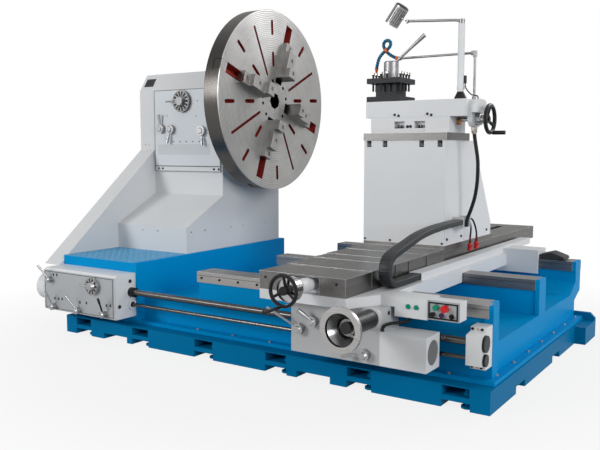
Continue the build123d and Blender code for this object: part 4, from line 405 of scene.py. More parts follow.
def near_line(point, direction, radius):
    """Closer than a radius to a slanting line."""
    def mask(tree):
        gap = vectors(tree, "SUBTRACT", position(tree), Vector(point) * MM)
        turn = vectors(tree, "CROSS_PRODUCT", gap, Vector(direction).normalized())
        return maths(tree, "LESS_THAN", vectors(tree, "LENGTH", turn), radius * MM)
    return mask


# Finishes: grain scales are per metre, and the depth and the edge are in metres

def surface(name, colour, metallic=0.0, rough=(0.3, 0.45), broad=even(3), fine=even(300), depth=0.0001,
            contrast=0.1, edge=0.002, specular=0.5, patches=(), worn=None):
    """General finish: broad colour variation, uneven gloss, fine relief, soft edges, patches, and bright
    edges that are partly wear and partly painted highlight.
    """
    mat, tree, shader = blank(name)
    wide = noise(tree, broad)
    close = noise(tree, fine, 2.0)
    tint = blend_colour(tree, wide, shade(colour, 1 - contrast), shade(colour, 1 + contrast))
    gloss = spread(tree, close, *rough)
    metal = metallic
    for mask, (patch_colour, patch_metallic, patch_rough) in patches:
        share = mask(tree)
        other = blend_colour(tree, wide, shade(patch_colour, 1 - contrast), shade(patch_colour, 1 + contrast))
        tint = blend_colour(tree, share, tint, other)
        gloss = maths(tree, "MULTIPLY_ADD", share, patch_rough - sum(rough) / 2, gloss)
        if patch_metallic != metallic:
            metal = maths(tree, "MULTIPLY_ADD", share, patch_metallic - metallic, metal)
    if worn:
        tint = blend_colour(tree, edges(tree, close), tint, worn)
    tree.links.new(tint, shader.inputs["Base Color"])
    tree.links.new(gloss, shader.inputs["Roughness"])
    if isinstance(metal, float):
        shader.inputs["Metallic"].default_value = metal
    else:
        tree.links.new(metal, shader.inputs["Metallic"])
    shader.inputs["Specular IOR Level"].default_value = specular
    relief(tree, shader, close, depth, edge)
    return mat


def paint(name, colour, patches=(), specular=0.3):
    """Sprayed machine paint with a slight orange peel."""
    return surface(name, colour, rough=(0.3, 0.44), broad=(2.2, 2.2, 3), fine=even(170), depth=0.00012,
                   contrast=0.045, specular=specular, patches=patches)


def brushed(name, colour, grain, rough=(0.26, 0.46), contrast=0.16, patches=(), worn=None):
    """Ground steel with its marks along one axis."""
    fine = [420.0, 420.0, 420.0]
    fine[grain] = 9.0
    broad = tuple(scale / 12 for scale in fine)
    return surface(name, colour, metallic=1.0, rough=rough, broad=broad, fine=tuple(fine), depth=0.00005,
                   contrast=contrast, edge=0.0015, patches=patches, worn=worn)


def plated(name, colour, rough, broad, fine, contrast, **more):
    """Smooth metal without a direction."""
    return surface(name, colour, metallic=1.0, rough=rough, broad=even(broad), fine=even(fine),
                   contrast=contrast, **more)


def plastic(name, colour, rough=(0.3, 0.45), patches=()):
    """Moulded plastic or rubber."""
    return surface(name, colour, rough=rough, broad=even(30), fine=even(900), depth=0.00004, contrast=0.12,
                   edge=0.001, specular=0.3, patches=patches)


def faceplate_material():
    """Turned face with rings round the spindle, a browner rim, near-black painted shade in its hollows, and
    red paint in slots and channels.
    """
    mat, tree, shader = blank("faceplate_iron")
    axis = SPINDLE.yz
    distance = radius_from(tree, X, axis)
    groove = maths(tree, "SINE", maths(tree, "MULTIPLY", distance, 2 * math.pi / (RING_PITCH * MM)))
    line = node(tree, "ShaderNodeCombineXYZ", {"X": distance})
    rings = node(tree, "ShaderNodeTexNoise", {"Vector": line.outputs["Vector"]}, Scale=60.0, Detail=4.0)
    cloud = noise(tree, even(3.5))
    tint = blend_colour(tree, spread(tree, cloud, 0, 1), CAST_DARK, CAST_LIGHT)
    tint = blend_colour(tree, spread(tree, rings.outputs["Fac"], 0.0, 0.55), tint, TURNED_LIGHT)
    tint = blend_colour(tree, spread(tree, groove, 0.0, 0.6, -1, 1), tint, DARK_STEEL)
    sunk = between(X, FACE_FRONT - SLOT_FLOOR, FACE_FRONT - FACE_SKIN)
    hollow = all_of(sunk, within(X, axis, FACE_RADIUS - RIM_WIDTH))
    rim = all_of(before(X, FACE_FRONT - RIM_SETBACK), outside(X, axis, FACE_RADIUS - RIM_WIDTH))(tree)
    red = all_of(hollow, outside(X, axis, BARE_RADIUS))(tree)
    tint = blend_colour(tree, rim, tint, RIM_BROWN)
    # Painted shade: the hollows are darkened to near black. This shows near the middle and where the red is
    # rubbed thin.
    tint = blend_colour(tree, hollow(tree), tint, shade(DARK_STEEL, 0.3))
    rubbed = spread(tree, noise(tree, even(40)), 0.55, 1.0)
    tint = blend_colour(tree, maths(tree, "MULTIPLY", red, rubbed), tint, RED)
    tree.links.new(tint, shader.inputs["Base Color"])
    tree.links.new(maths(tree, "SUBTRACT", 1.0, red), shader.inputs["Metallic"])
    gloss = spread(tree, noise(tree, even(60)), 0.3, 0.44)
    gloss = maths(tree, "MULTIPLY_ADD", rim, maths(tree, "SUBTRACT", 0.27, gloss), gloss)
    tree.links.new(gloss, shader.inputs["Roughness"])
    turned = maths(tree, "MULTIPLY", groove, beyond(X, FACE_FRONT - FACE_SKIN)(tree))
    relief(tree, shader, turned, depth=0.0004, edge=0.0)
    return mat


def wheel_material(name, axis, centre, bright):
    """Black handwheel whose screw and collars, named by a mask, are bright."""
    collars = all_of(bright, within(axis, centre, COLLAR_RADIUS))
    return plastic(name, BLACK, rough=(0.25, 0.38), patches=[(collars, CHROME)])


def apron_wheel_material():
    """Ground ring, dark polished bowl, black drum and nut."""
    in_front = before(Y, BOWL_BACK)
    bowl = all_of(within(Y, APRON_WHEEL, BOWL_RADIUS), in_front)
    drum = all_of(within(Y, APRON_WHEEL, DRUM_RADIUS), beyond(Y, DRUM_FRONT))
    nut = all_of(within(Y, APRON_WHEEL, DRUM_NUT_RADIUS), in_front)
    return brushed("apron_wheel_steel", shade(STEEL, 1.15), X, rough=(0.24, 0.36), patches=[
        (bowl, (shade(BRIGHT, 0.5), 1.0, 0.22)), (drum, PLAIN_BLACK), (nut, PLAIN_BLACK)])


def headstock_material():
    """White paint, darkened a little as painted shade, with a cooler front panel, which has a slightly darker
    block.
    """
    on_panel = before(Y, PANEL_FRONT + 1)
    panel = all_of(on_panel, beyond(Z, PANEL_FOOT + 2), beyond(X, PANEL_SPAN[0]))
    block = all_of(on_panel, between(Z, *BLOCK_RISE), between(X, *BLOCK_SPAN))
    # The housing's white is darkened to 0.92 as painted shade, because it stands nearer the key lamp than the
    # other white parts.
    return paint("headstock_paint_shaded", shade(WHITE_PAINT, 0.92), [
        (panel, (PANEL_WHITE, 0.0, 0.3)), (block, (shade(PANEL_WHITE, 0.9), 0.0, 0.3))])


def gearbox_material():
    """White paint with a satin front plate and black seals round the screw and the rod."""
    plate = all_of(before(Y, GEAR_FRONT + 3), beyond(X, GEAR_SPAN[0] - 6))
    seals = any_of(within(X, middle("lead_screw").yz, SCREW_SEAL_RADIUS),
                   within(X, middle("feed_rod").yz, ROD_SEAL_RADIUS))
    return paint("gearbox_paint", WHITE_PAINT, [
        (plate, SATIN), (all_of(beyond(X, GEAR_SIDE + 1), seals), PLAIN_BLACK)])


def painted_finishes():
    """Materials of the castings and boxes, with what is let into them."""
    white = paint("white_paint", WHITE_PAINT)
    platform = all_of(beyond(Z, PLATFORM_TOP - 2), before(Y, PLATFORM_BACK), before(X, PLATFORM_RIGHT))
    bearing_caps = beyond(X, corners("screw_end_bracket")[1].x - BEARING_CAP_DEPTH)
    signals = all_of(before(Y, SADDLE_FRONT - 1),
                     between(X, SIGNALS[0][0] - SIGNAL_MARGIN, SIGNALS[1][0] + SIGNAL_MARGIN))
    box_front = corners("control_box")[0].y
    bronze_nut = beyond(X, corners("compound_base")[1].x - BRONZE_NUT_LENGTH)
    pole_low, pole_high = corners("lamp_pole")
    pole_fittings = any_of(before(Z, pole_low.z + POLE_FOOT_HEIGHT),
                           beyond(X, pole_high.x - POLE_SWITCH_DEPTH))
    return {
        # The base frame uses the bed's blue darkened to six tenths: painted shade for its low front, which
        # gets less light near the floor.
        "base_frame": paint("base_paint", shade(BLUE, 0.6), specular=BLUE_GLOSS),
        "bed_casting": paint("bed_paint", BLUE, [(platform, (TREAD_BLUE, 0.0, 0.4))], BLUE_GLOSS),
        "headstock_housing": headstock_material(),
        "gearbox_housing": gearbox_material(),
        "screw_end_bracket": paint("bracket_paint", WHITE_PAINT, [(bearing_caps, (OXIDE, 0.6, 0.35))]),
        "saddle": paint("saddle_paint", WHITE_PAINT, [(signals, (GREEN, 0.0, 0.2))]),
        "apron": paint("apron_paint", shade(WHITE_PAINT, 0.66)),
        "rapid_motor_cover": white,
        "pedestal": white,
        "compound_slide": white,
        "control_box": paint("control_box_paint", WHITE_PAINT, [
            (before(Y, box_front + BOX_RIM_DEPTH), (ALUMINIUM, 0.4, 0.4)),
            (before(Y, box_front + BOX_PLATE_DEPTH), PLAIN_BLACK)]),
        "compound_base": paint("compound_base_paint", WHITE_PAINT, [(bronze_nut, (BRONZE, 1.0, 0.32))]),
        "lamp_pole": paint("lamp_pole_paint", shade(WHITE_PAINT, 1.08), [(pole_fittings, PLAIN_BLACK)]),
    }


def steel_finishes():
    """Materials of the machined and plated pieces."""
    way_top = corners("bed_ways")[1].z
    way_seam = between(Z, *(way_top - drop for drop in WAY_SEAM))
    t_bolts = before(Z, corners("pedestal_top_plate")[1].z - T_BOLT_DROP)
    screw_heads = beyond(Z, corners("tool_post")[1].z - CLAMP_SCREW_HEAD)
    flutes = near_line(LAMP_FOOT, LAMP_AXIS, FLUTE_RADIUS)
    shaft = brushed("shaft_steel", shade(STEEL, 0.26), X, rough=(0.2, 0.32))
    lengthwise = brushed("ground_steel_lengthwise", STEEL, X)
    crosswise = brushed("ground_steel_crosswise", shade(STEEL, 0.4), Y, contrast=0.25, worn=WORN_AND_HIGHLIT_STEEL)
    lever = brushed("lever_steel", shade(BRIGHT, 0.8), X, rough=(0.28, 0.4), contrast=0.14, worn=WORN_AND_HIGHLIT_STEEL)
    jaw = plated("jaw_steel", JAW_STEEL, rough=(0.28, 0.48), broad=14, fine=240, contrast=0.25,
                 worn=WORN_AND_HIGHLIT_STEEL)
    bright = plated("bright_steel", shade(BRIGHT, 0.56), rough=(0.36, 0.46), broad=9, fine=120, contrast=0.08,
                    depth=0.00001)
    table = {
        "bed_ways": brushed("way_steel", shade(STEEL, 0.8), X, worn=WORN_AND_HIGHLIT_STEEL, patches=[
            (beyond(Y, FRONT_WAY_BACK), (shade(STEEL, 0.6), 1.0, 0.36)),
            (way_seam, (shade(DARK_STEEL, 0.4), 1.0, 0.5))]),
        "pedestal_top_plate": brushed("top_plate_steel", shade(STEEL, 0.44), X, worn=WORN_AND_HIGHLIT_STEEL,
                                      patches=[(t_bolts, PLAIN_BLACK)]),
        "tool_post": surface("black_oxide", shade(OXIDE, 0.65), metallic=0.5, rough=(0.42, 0.6),
                             broad=even(12), patches=[(screw_heads, (shade(STEEL, 0.8), 1.0, 0.35))]),
        "tool_post_lever": plated("lever_satin", SATIN_STEEL, rough=(0.38, 0.5), broad=9, fine=160,
                                  contrast=0.1, depth=0.00002),
        "lamp_head": plated("lamp_head_metal", shade(BRIGHT, 0.72), rough=(0.38, 0.46), broad=9, fine=90,
                            contrast=0.06, depth=0.00001, edge=0.0,
                            patches=[(flutes, (shade(DARK_STEEL, 0.9), 1.0, 0.4))]),
        "speed_dial": brushed("speed_dial_steel", shade(BRIGHT, 0.5), Z, rough=(0.3, 0.42)),
        "faceplate": faceplate_material(),
        "apron_handwheel": apron_wheel_material(),
    }
    lever_rows = ("speed", "feed", "apron")
    shared = (
        (shaft, ["lead_screw", "feed_rod"]),
        (lengthwise, ["drive_shaft", "spindle", "spindle_bearings"]),
        (crosswise, ["cross_way", "cross_slide"] + [f"way_cover_{i}" for i in range(1, 4)]),
        (lever, ["feed_dial"] + [f"{row}_lever_{i}" for row in lever_rows for i in range(1, 4)]),
        (jaw, [f"jaw_{i}" for i in range(1, 5)]),
        (bright, ["lamp_arm", "coolant_pipe"]),
    )
    for finish, names in shared:
        table.update(dict.fromkeys(names, finish))
    return table


def moulded_finishes():
    """Materials of buttons, black handles, cables and the hose."""
    rubber = plastic("cable_rubber", RUBBER, rough=(0.45, 0.65))
    hub = within(Y, (middle("feed_lever_4").x, BLACK_LEVER_HUB_HEIGHT), BLACK_LEVER_HUB_RADIUS)
    table = {
        "start_button": plastic("green_button", GREEN, BUTTON_ROUGH),
        "stop_button": plastic("red_button", STOP_RED, BUTTON_ROUGH),
        "reset_button": plastic("purple_button", PURPLE, BUTTON_ROUGH),
        "jog_button": plastic("black_button", BLACK, BUTTON_ROUGH),
        "selector_switch": plastic("selector_black", BLACK),
        "coolant_hose": plastic("hose_blue", HOSE_BLUE, FITTING_ROUGH),
        "feed_lever_4": plastic("black_lever", BLACK, patches=[(hub, (shade(BRIGHT, 0.75), 1.0, 0.25))]),
        "cross_handwheel": wheel_material("cross_wheel_black", Y, CROSS_WHEEL, beyond(Y, CROSS_COLLAR_FRONT)),
        "compound_handwheel": wheel_material("compound_wheel_black", X, COMPOUND_SCREW,
                                             before(X, COMPOUND_COLLAR_END)),
    }
    table.update(dict.fromkeys(("cable_duct", "motor_cable", "slide_cables", "plug_leads"), rubber))
    return table


FINISHES = {**painted_finishes(), **steel_finishes(), **moulded_finishes()}
for name, finish in FINISHES.items():
    nodes[name].data.materials.clear()
    nodes[name].data.materials.append(finish)


# Finishes of the small pieces
FINE = {
    "bolt": surface("bolt_black", OXIDE, metallic=0.7, broad=even(60), contrast=0.2),
    # Painted shade: screw sockets are near-black whatever the head's finish, for the dark inside of the
    # recess.
    "socket": plastic("socket_painted_shade", shade(BLACK, 0.4), (0.6, 0.8)),
    "zinc": brushed("zinc_plate", (0.6, 0.6, 0.6), Z, rough=(0.25, 0.4), contrast=0.1),
    "dull": surface("dull_zinc", (0.30, 0.32, 0.34), metallic=0.6, rough=(0.45, 0.6), broad=even(60)),
    "nickel": surface("nickel_plate", (0.46, 0.41, 0.36), metallic=1.0, broad=even(50)),
    # The grille wires use the white paint darkened to 0.42: painted shade carried over from the dark holes
    # between them.
    "wire": paint("wire_paint_shaded", shade(WHITE_PAINT, 0.42)),
    "brass": surface("brass", BRASS, metallic=1.0, rough=(0.25, 0.4), broad=even(50)),
    "mark": plastic("mark_black", (0.012, 0.012, 0.013), (0.5, 0.6)),
    "line": plastic("line_grey", (0.12, 0.125, 0.13), (0.5, 0.6)),
    "plate": plastic("plain_plate", (0.03, 0.03, 0.034), (0.35, 0.5)),
    "red": plastic("plug_red", PLUG_RED, FITTING_ROUGH),
    "orange": plastic("fitting_orange", ORANGE, FITTING_ROUGH),
    "lens": plastic("lamp_lens", (0.75, 0.76, 0.74), (0.08, 0.15)),
    # The lozenges' lighter blue is partly wear and partly a painted highlight on their raised tops.
    "tread": paint("tread_paint_worn_and_highlit", LOZENGE_WORN_AND_HIGHLIT_BLUE),
    "wiper": plastic("wiper_rubber", (0.03, 0.03, 0.032), (0.5, 0.7)),
    "duct": surface("duct_rubber", (0.014, 0.017, 0.019), rough=(0.4, 0.55), broad=even(20), fine=even(500),
                    contrast=0.15, specular=0.35),
}


# Piece kit: forms are drawn in millimetres on a place, which turns them into metres

MARK_HEIGHT = 0.8


def face(at, normal):
    """Place on a surface: local z leaves it and local y points up along it."""
    z = Vector(normal).normalized()
    x = Vector(UP).cross(z)
    if x.length < 0.01:
        x = Vector(RIGHT)
    x.normalize()
    turn = Matrix((x, z.cross(x), z)).transposed().to_4x4()
    return Matrix.Scale(MM, 4) @ Matrix.Translation(at) @ turn


def skin(bm, rings, finish, closed=False):
    """Joins rings of corners with faces; a ring of one corner is a pole."""
    for low, high in zip(rings, rings[1:]):
        count = max(len(low), len(high))
        for i in range(count):
            j = (i + 1) % count
            loop = [low[i % len(low)], low[j % len(low)], high[j % len(high)], high[i % len(high)]]
            bm.faces.new(dict.fromkeys(loop)).material_index = finish
    if closed:
        for loop in (rings[0], rings[-1]):
            bm.faces.new(loop).material_index = finish


def circle(radius, sides=18):
    """Corners round a circle, in the radius's own unit."""
    angles = [2 * math.pi * i / sides for i in range(sides)]
    return [(radius * math.cos(a), radius * math.sin(a)) for a in angles]


def spin(bm, profile, place, sides=24, finish=0):
    """Turned form from (radius, height) points; few sides make a square or a hexagon."""
    rings = []
    for radius, height in profile:
        outline = circle(radius, sides if radius else 1)
        rings.append([bm.verts.new(place @ Vector((*p, height))) for p in outline])
    skin(bm, rings, finish)


def slab(bm, outline, low, high, place, edge=0.6, finish=0):
    """Plate with a broken upper edge."""
    centre = sum((Vector(p) for p in outline), Vector((0, 0))) / len(outline)
    rings = []
    for height, inset in ((low, 0), (high - edge, 0), (high, edge)):
        inward = [Vector(p) - (Vector(p) - centre).normalized() * inset for p in outline]
        rings.append([bm.verts.new(place @ Vector((*p, height))) for p in inward])
    skin(bm, rings, finish, closed=True)


def oblong(x0, x1, y0, y1):
    """Corners of an oblong."""
    return [(x0, y0), (x1, y0), (x1, y1), (x0, y1)]


def border(bm, x0, x1, y0, y1, width, height, place, finish=0):
    """Thin raised line round an oblong."""
    for outline in (oblong(x0, x1, y0, y0 + width), oblong(x0, x1, y1 - width, y1),
                    oblong(x0, x0 + width, y0 + width, y1 - width),
                    oblong(x1 - width, x1, y0 + width, y1 - width)):
        slab(bm, outline, 0, height, place, height / 3, finish)


def mark(bm, outline, place):
    """Thin printed mark."""
    slab(bm, outline, 0, MARK_HEIGHT, place, edge=0.2)


def cap_screw(bm, place, radius, height):
    """Round head with a hexagon socket."""
    spin(bm, [(radius, 0), (radius, height * 0.85), (radius * 0.88, height), (radius * 0.5, height)], place)
    spin(bm, [(radius * 0.56, height), (radius * 0.5, height * 0.3), (0, height * 0.3)], place, sides=6,
         finish=1)


def hex_bolt(bm, place, radius, height):
    """Hexagon head on a washer."""
    rim = height * 0.2
    spin(bm, [(radius * 1.3, 0), (radius * 1.3, rim), (radius * 0.7, rim)], place)
    spin(bm, [(radius, rim), (radius, height * 0.85), (radius * 0.8, height), (0, height)], place,
         sides=6)


def plug(bm, place, radius, height):
    """Low button with a dished middle."""
    spin(bm, [(radius, 0), (radius, height * 0.6), (radius * 0.85, height), (radius * 0.5, height),
              (radius * 0.3, height * 0.5), (0, height * 0.5)], place)


def ring(bm, place, inner, outer, height):
    """Rounded bezel."""
    spin(bm, [(inner, 0), (outer, 0), (outer, height * 0.6), (outer - 0.6, height), (inner, height * 0.8),
              (inner, 0)], place, sides=32)


def add(name, data):
    """New object in the scene."""
    thing = bpy.data.objects.new(name, data)
    bpy.context.scene.collection.objects.link(thing)
    return thing


def piece(name, body, bm, *finishes):
    """Finished mesh, which rides on a body if one is named."""
    bmesh.ops.recalc_face_normals(bm, faces=bm.faces)
    mesh = bpy.data.meshes.new(name)
    bm.to_mesh(mesh)
    bm.free()
    for finish in finishes:
        mesh.materials.append(finish)
    mesh.shade_smooth()
    mesh.set_sharp_from_angle(angle=math.radians(35))
    thing = add(name, mesh)
    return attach(thing, body) if body else thing


def fasteners(name, body, form, size, spots, normal, *finishes):
    """The same screw, bolt or plug at several places; its size is a radius and a height."""
    bm = bmesh.new()
    for spot in spots:
        form(bm, face(spot, normal), *size)
    return piece(name, body, bm, *[FINE[f] for f in finishes])


# Cords: routes are the CAD's

MOTOR_CABLE = ((1071, -1149, 393), (1071, -1149, 417), (1089, -1118, 430.2), (1131, -1060, 430.2),
               (1161, -1018, 430.2), (1161, -1018, 455))
FEED_CABLE = ((1044, 176, 1477.6), (1044, 176, 1427.6), (1058, 179, 1347.6), (1068, 190, 1262.6),
              (1066, 200, 1197.6), (1058, 214, 1104.6), (1040, 228, 1017.6), (1020, 236, 957.6),
              (998, 242, 901.6), (978.7, 244.7, 858.3), (978.7, 244.7, 814.3))
LAMP_CABLE = ((965, 200, 1764.6), (965, 200, 1743.6), (979, 197, 1720.6), (999, 193, 1700.6),
              (1018, 189, 1684.6), (1044, 186, 1683.6), (1062, 185, 1675.6), (1062, 185, 1655.6))
LEAD_1 = ((990, 265, 868.3), (990, 310, 868.3), (990, 365, 826.3), (990, 405, 772.3), (990, 410, 735.3),
          (990, 410, 721.3))
LEAD_2 = ((974, 265, 850.3), (974, 301, 848.3), (974, 331, 826.3), (974, 343, 792.3), (974, 339, 758.3),
          (974, 331, 734.3), (974, 331, 714.3))
DUCT = ((964.3, 135, 852.3), (964.3, -363.1, 852.3), (964.3, -760, 767.2), (964.3, -893.8, 738.6),
        (964.3, -927, 656.1), (964.3, -877.2, 582.4), (964.3, -760, 582.3), (964.3, -512.7, 582.3))

# The hose's route from its fitting, its ribs, and the point where the loop crosses itself and the valve sits
HOSE_START = (452, 245, 1962.6)
HOSE = ((0, 0, 0), (-46, 0, 18), (-88, -1, 52), (-113, -4, 90), (-104, -9, 122), (-72, -14, 132),
        (-44, -20, 112), (-50, -26, 78), (-84, -30, 54), (-117, -31, 28), (-140, -31, -10), (-151, -30, -66))
HOSE_RIBS = 26
HOSE_CROSSING = 8

# Sections of the cords: radius or half sizes, and the height and the pitch of a wave along them
CONDUIT_RADIUS = 8.4
CONDUIT_WAVE = 0.9
CONDUIT_PITCH = 6.6
DUCT_HALF = (34.6, 17.6)
DUCT_CORNER = 6.0
DUCT_WAVE = 0.4
DUCT_PITCH = 16.0
HOSE_RADIUS = 9.5
HOSE_WAVE = 3.0
FEED_CABLE_RADIUS = 12.0
LAMP_CABLE_RADIUS = 4.0
LEAD_RADIUS = 6.0


def metres(points):
    """Points in metres."""
    return [Vector(p) * MM for p in points]


def spline(name, points, radius=0.0):
    """Smooth curve with the route's points as its control points; a radius makes it a round cable."""
    curve = bpy.data.curves.new(name, "CURVE")
    curve.dimensions = "3D"
    curve.resolution_u = 40
    curve.bevel_depth = radius * MM
    curve.bevel_resolution = 6
    curve.use_fill_caps = True
    line = curve.splines.new("NURBS")
    line.points.add(len(points) - 1)
    for spot, point in zip(line.points, metres(points)):
        spot.co = (*point, 1)
    line.order_u = 3
    line.use_endpoint_u = True
    return add(name, curve)


def flow(points):
    """Points along a route's smooth curve, in metres."""
    guide = spline("guide", points)
    mesh = bpy.data.meshes.new_from_object(guide)
    line = [v.co.copy() for v in mesh.vertices]
    bpy.data.objects.remove(guide)
    bpy.data.meshes.remove(mesh)
    return line


def sweep(bm, line, section):
    """Skin round a line; section gives the outline for the length gone, with its first axis kept near X."""
    side = Vector(RIGHT)
    gone = 0.0
    rings = []
    for i, point in enumerate(line):
        behind = line[max(i - 1, 0)]
        gone += (point - behind).length / MM
        ahead = (line[min(i + 1, len(line) - 1)] - behind).normalized()
        side = (side - ahead * side.dot(ahead)).normalized()
        other = ahead.cross(side)
        rings.append([bm.verts.new(point + side * u * MM + other * v * MM) for u, v in section(gone)])
    skin(bm, rings, 0, closed=True)


def length_of(line):
    """Length of a line of points."""
    return sum((b - a).length for a, b in zip(line, line[1:]))


def wave(gone, pitch):
    """Height of a wave after a length, from -1 to 1."""
    return math.sin(2 * math.pi * gone / pitch)


def motor_cable():
    """Corrugated conduit from the motor cover to the saddle."""
    line = flow(MOTOR_CABLE)
    bm = bmesh.new()
    sweep(bm, line, lambda gone: circle(CONDUIT_RADIUS + CONDUIT_WAVE * wave(gone, CONDUIT_PITCH)))
    conduit = piece("motor_conduit", "carriage", bm, FINISHES["motor_cable"])
    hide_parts("motor_cable")


def feed_cable():
    """Cable with a gland, from the compound slide down to the terminal box on the pedestal."""
    bm = bmesh.new()
    gland = face(FEED_CABLE[0], DOWN)
    spin(bm, [(22, 0), (22, 12), (12.4, 12), (12.4, 0)], gland, sides=6)
    spin(bm, [(18, 12), (19, 30), (13.5, 46), (12.4, 46), (12.4, 12)], gland)
    nut = piece("cable_gland", "compound_slide", bm, FINE["nickel"])
    line = flow(FEED_CABLE)
    bm = bmesh.new()
    sweep(bm, line, lambda gone: circle(FEED_CABLE_RADIUS))
    cable = piece("feed_cable", None, bm, FINISHES["slide_cables"])
    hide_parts("slide_cables")
    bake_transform(cable)


def lamp_cable():
    """Thin cable from the lamp's switch into the slide's bracket."""
    cable = spline("lamp_cable", LAMP_CABLE, LAMP_CABLE_RADIUS)
    cable.data.materials.append(FINISHES["slide_cables"])
    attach(cable, "compound_slide")


def plug_lead(number, points):
    """Short lead that hangs from the terminal box with a plug on its end."""
    bm = bmesh.new()
    place = face(points[-1], DOWN)
    spin(bm, [(0, -16), (6.2, -16), (7.5, 4), (10, 22), (0, 22)], place, sides=20, finish=1)
    for height in (-10, -4, 2):
        ring(bm, place @ Matrix.Translation((0, 0, height)), inner=6, outer=8.4, height=2.4)
    spin(bm, [(0, 20), (10, 20), (15, 25), (17, 31), (17, 40), (15.6, 42), (15.6, 58), (17, 60), (17, 69),
              (15.5, 72), (12.5, 72), (12.5, 56), (0, 56)], place)
    body = piece(f"lead_plug_{number}", "cross_slide", bm, FINE["red"], FINE["mark"])
    lead = spline(f"plug_lead_{number}", points, LEAD_RADIUS)
    lead.data.materials.append(FINISHES["plug_leads"])
    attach(lead, "cross_slide")
    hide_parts("plug_leads")


def duct_section(gone):
    """Oblong with round corners, which swells and shrinks along the conduit."""
    rise = DUCT_WAVE * wave(gone, DUCT_PITCH)
    across, up = (half + rise - DUCT_CORNER for half in DUCT_HALF)
    outline = []
    for i, j in ((1, 1), (-1, 1), (-1, -1), (1, -1)):
        start = math.atan2(j, i) - math.pi / 4
        for k in range(4):
            angle = start + k * math.pi / 6
            outline.append((i * across + DUCT_CORNER * math.cos(angle),
                            j * up + DUCT_CORNER * math.sin(angle)))
    return outline


def cable_duct():
    """Flat ribbed conduit that carries the cables from the cross slide to the saddle."""
    line = flow(DUCT)
    bm = bmesh.new()
    sweep(bm, line, duct_section)
    duct = piece("flat_conduit", None, bm, FINE["duct"])
    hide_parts("cable_duct")
    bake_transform(duct)


def coolant_hose():
    """Jointed hose that holds its shape, with its fitting, valve and nozzle."""
    route = [Vector(HOSE_START) + Vector(offset) for offset in HOSE]
    line = flow(route)
    rib = length_of(line) / HOSE_RIBS / MM
    bm = bmesh.new()
    sweep(bm, line, lambda gone: circle(HOSE_RADIUS + HOSE_WAVE * abs(wave(gone, 2 * rib))))
    hose = piece("jointed_hose", "compound_slide", bm, FINISHES["coolant_hose"])
    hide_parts("coolant_hose")
    bm = bmesh.new()
    collar = face(HOSE_START, Vector(HOSE[1]))
    spin(bm, [(11, -4), (16, -4), (16, 14), (11, 14)], collar, sides=6)
    crossing = len(line) * HOSE_CROSSING // (len(HOSE) - 1)
    valve = face(line[crossing] / MM, line[crossing + 1] - line[crossing])
    spin(bm, [(12.6, -9), (15, -9), (16.5, 0), (15, 9), (12.6, 9)], valve)
    spin(bm, [(0, -4), (10, -4), (12.5, 0), (9, 16), (5, 30), (0, 30)], face(route[-1], DOWN))
    piece("hose_fittings", "compound_slide", bm, FINE["orange"])


def cables():
    """All cords and the hose."""
    motor_cable()
    feed_cable()
    lamp_cable()
    plug_lead(1, LEAD_1)
    plug_lead(2, LEAD_2)
    cable_duct()
    coolant_hose()


# Small pieces; sizes of fasteners are a head's radius and height

PANEL_SCREW = (8, 5)
HOUSING_SCREW = (7, 3)
GEARBOX_PLUG = (13, 6)
FLANGE_BOLT = (8, 8)
WAY_SCREW = (8, 4)
BRACKET_SCREW = (7, 7)
BRACKET_PIN = (5, 3)
RAIL_PLUG = (8, 3)
APRON_PLUG = (11, 4)
SIDE_SCREW = (9, 7)
FOOT_SCREW = (7, 5)
WINDOW_BOLT = (8, 22)
BASE_BOLT = (8, 9)
GIB_BOLT = (7, 8)


def dial_marks(name, place, radius, count):
    """Ring of black marks between two lines on a dial's face."""
    bm = bmesh.new()
    for i in range(count):
        angle = 2 * math.pi * i / count
        out = Vector((math.cos(angle), math.sin(angle)))
        side = Vector((-out.y, out.x))
        mark(bm, [out * radius * r + side * radius * s
                  for r, s in ((0.60, -0.09), (0.88, -0.13), (0.88, 0.13), (0.60, 0.09))], place)
    ring(bm, place, radius * 0.93, radius * 0.96, MARK_HEIGHT)
    ring(bm, place, radius * 0.57, radius * 0.595, MARK_HEIGHT)
    piece(f"{name}_marks", name, bm, FINE["mark"])


def panel_details():
    """Borders, marks and screws of the headstock's panel."""
    panel = face((0, PANEL_FRONT, 0), FRONT)
    left, right = PANEL_SPAN[0] + 1, PANEL_SPAN[1] - 1
    bm = bmesh.new()
    border(bm, left, right, PANEL_FOOT - 1, PANEL_TOP - 1, width=4, height=1.5, place=panel)
    border(bm, left, right, STRIP_FOOT + 1, PANEL_FOOT - 1, width=3, height=1.2, place=panel)
    piece("panel_border", "frame", bm, FINE["line"])
    bm = bmesh.new()
    for x in range(-1490, -1209, 70):
        mark(bm, oblong(x, x + 16, 1392, 1400), panel)
    for x, z in ((-1560, 1722), (-1555, 1610), (-1220, 1722), (-1235, 1600)):
        mark(bm, oblong(x, x + 7, z - 6, z + 6), panel)
    piece("panel_marks", "frame", bm, FINE["line"])
    dial = face((SPEED_DIAL_AT[0], PANEL_FRONT - SPEED_DIAL_DEPTH, SPEED_DIAL_AT[1]), FRONT)
    dial_marks("speed_dial", dial, SPEED_DIAL_RADIUS, count=14)
    strip = [(x, PANEL_FRONT, 1176) for x in (-1651, -1606, -1052, -1003)]
    fasteners("panel_screws", "frame", cap_screw, PANEL_SCREW, strip, FRONT, "bolt", "socket")


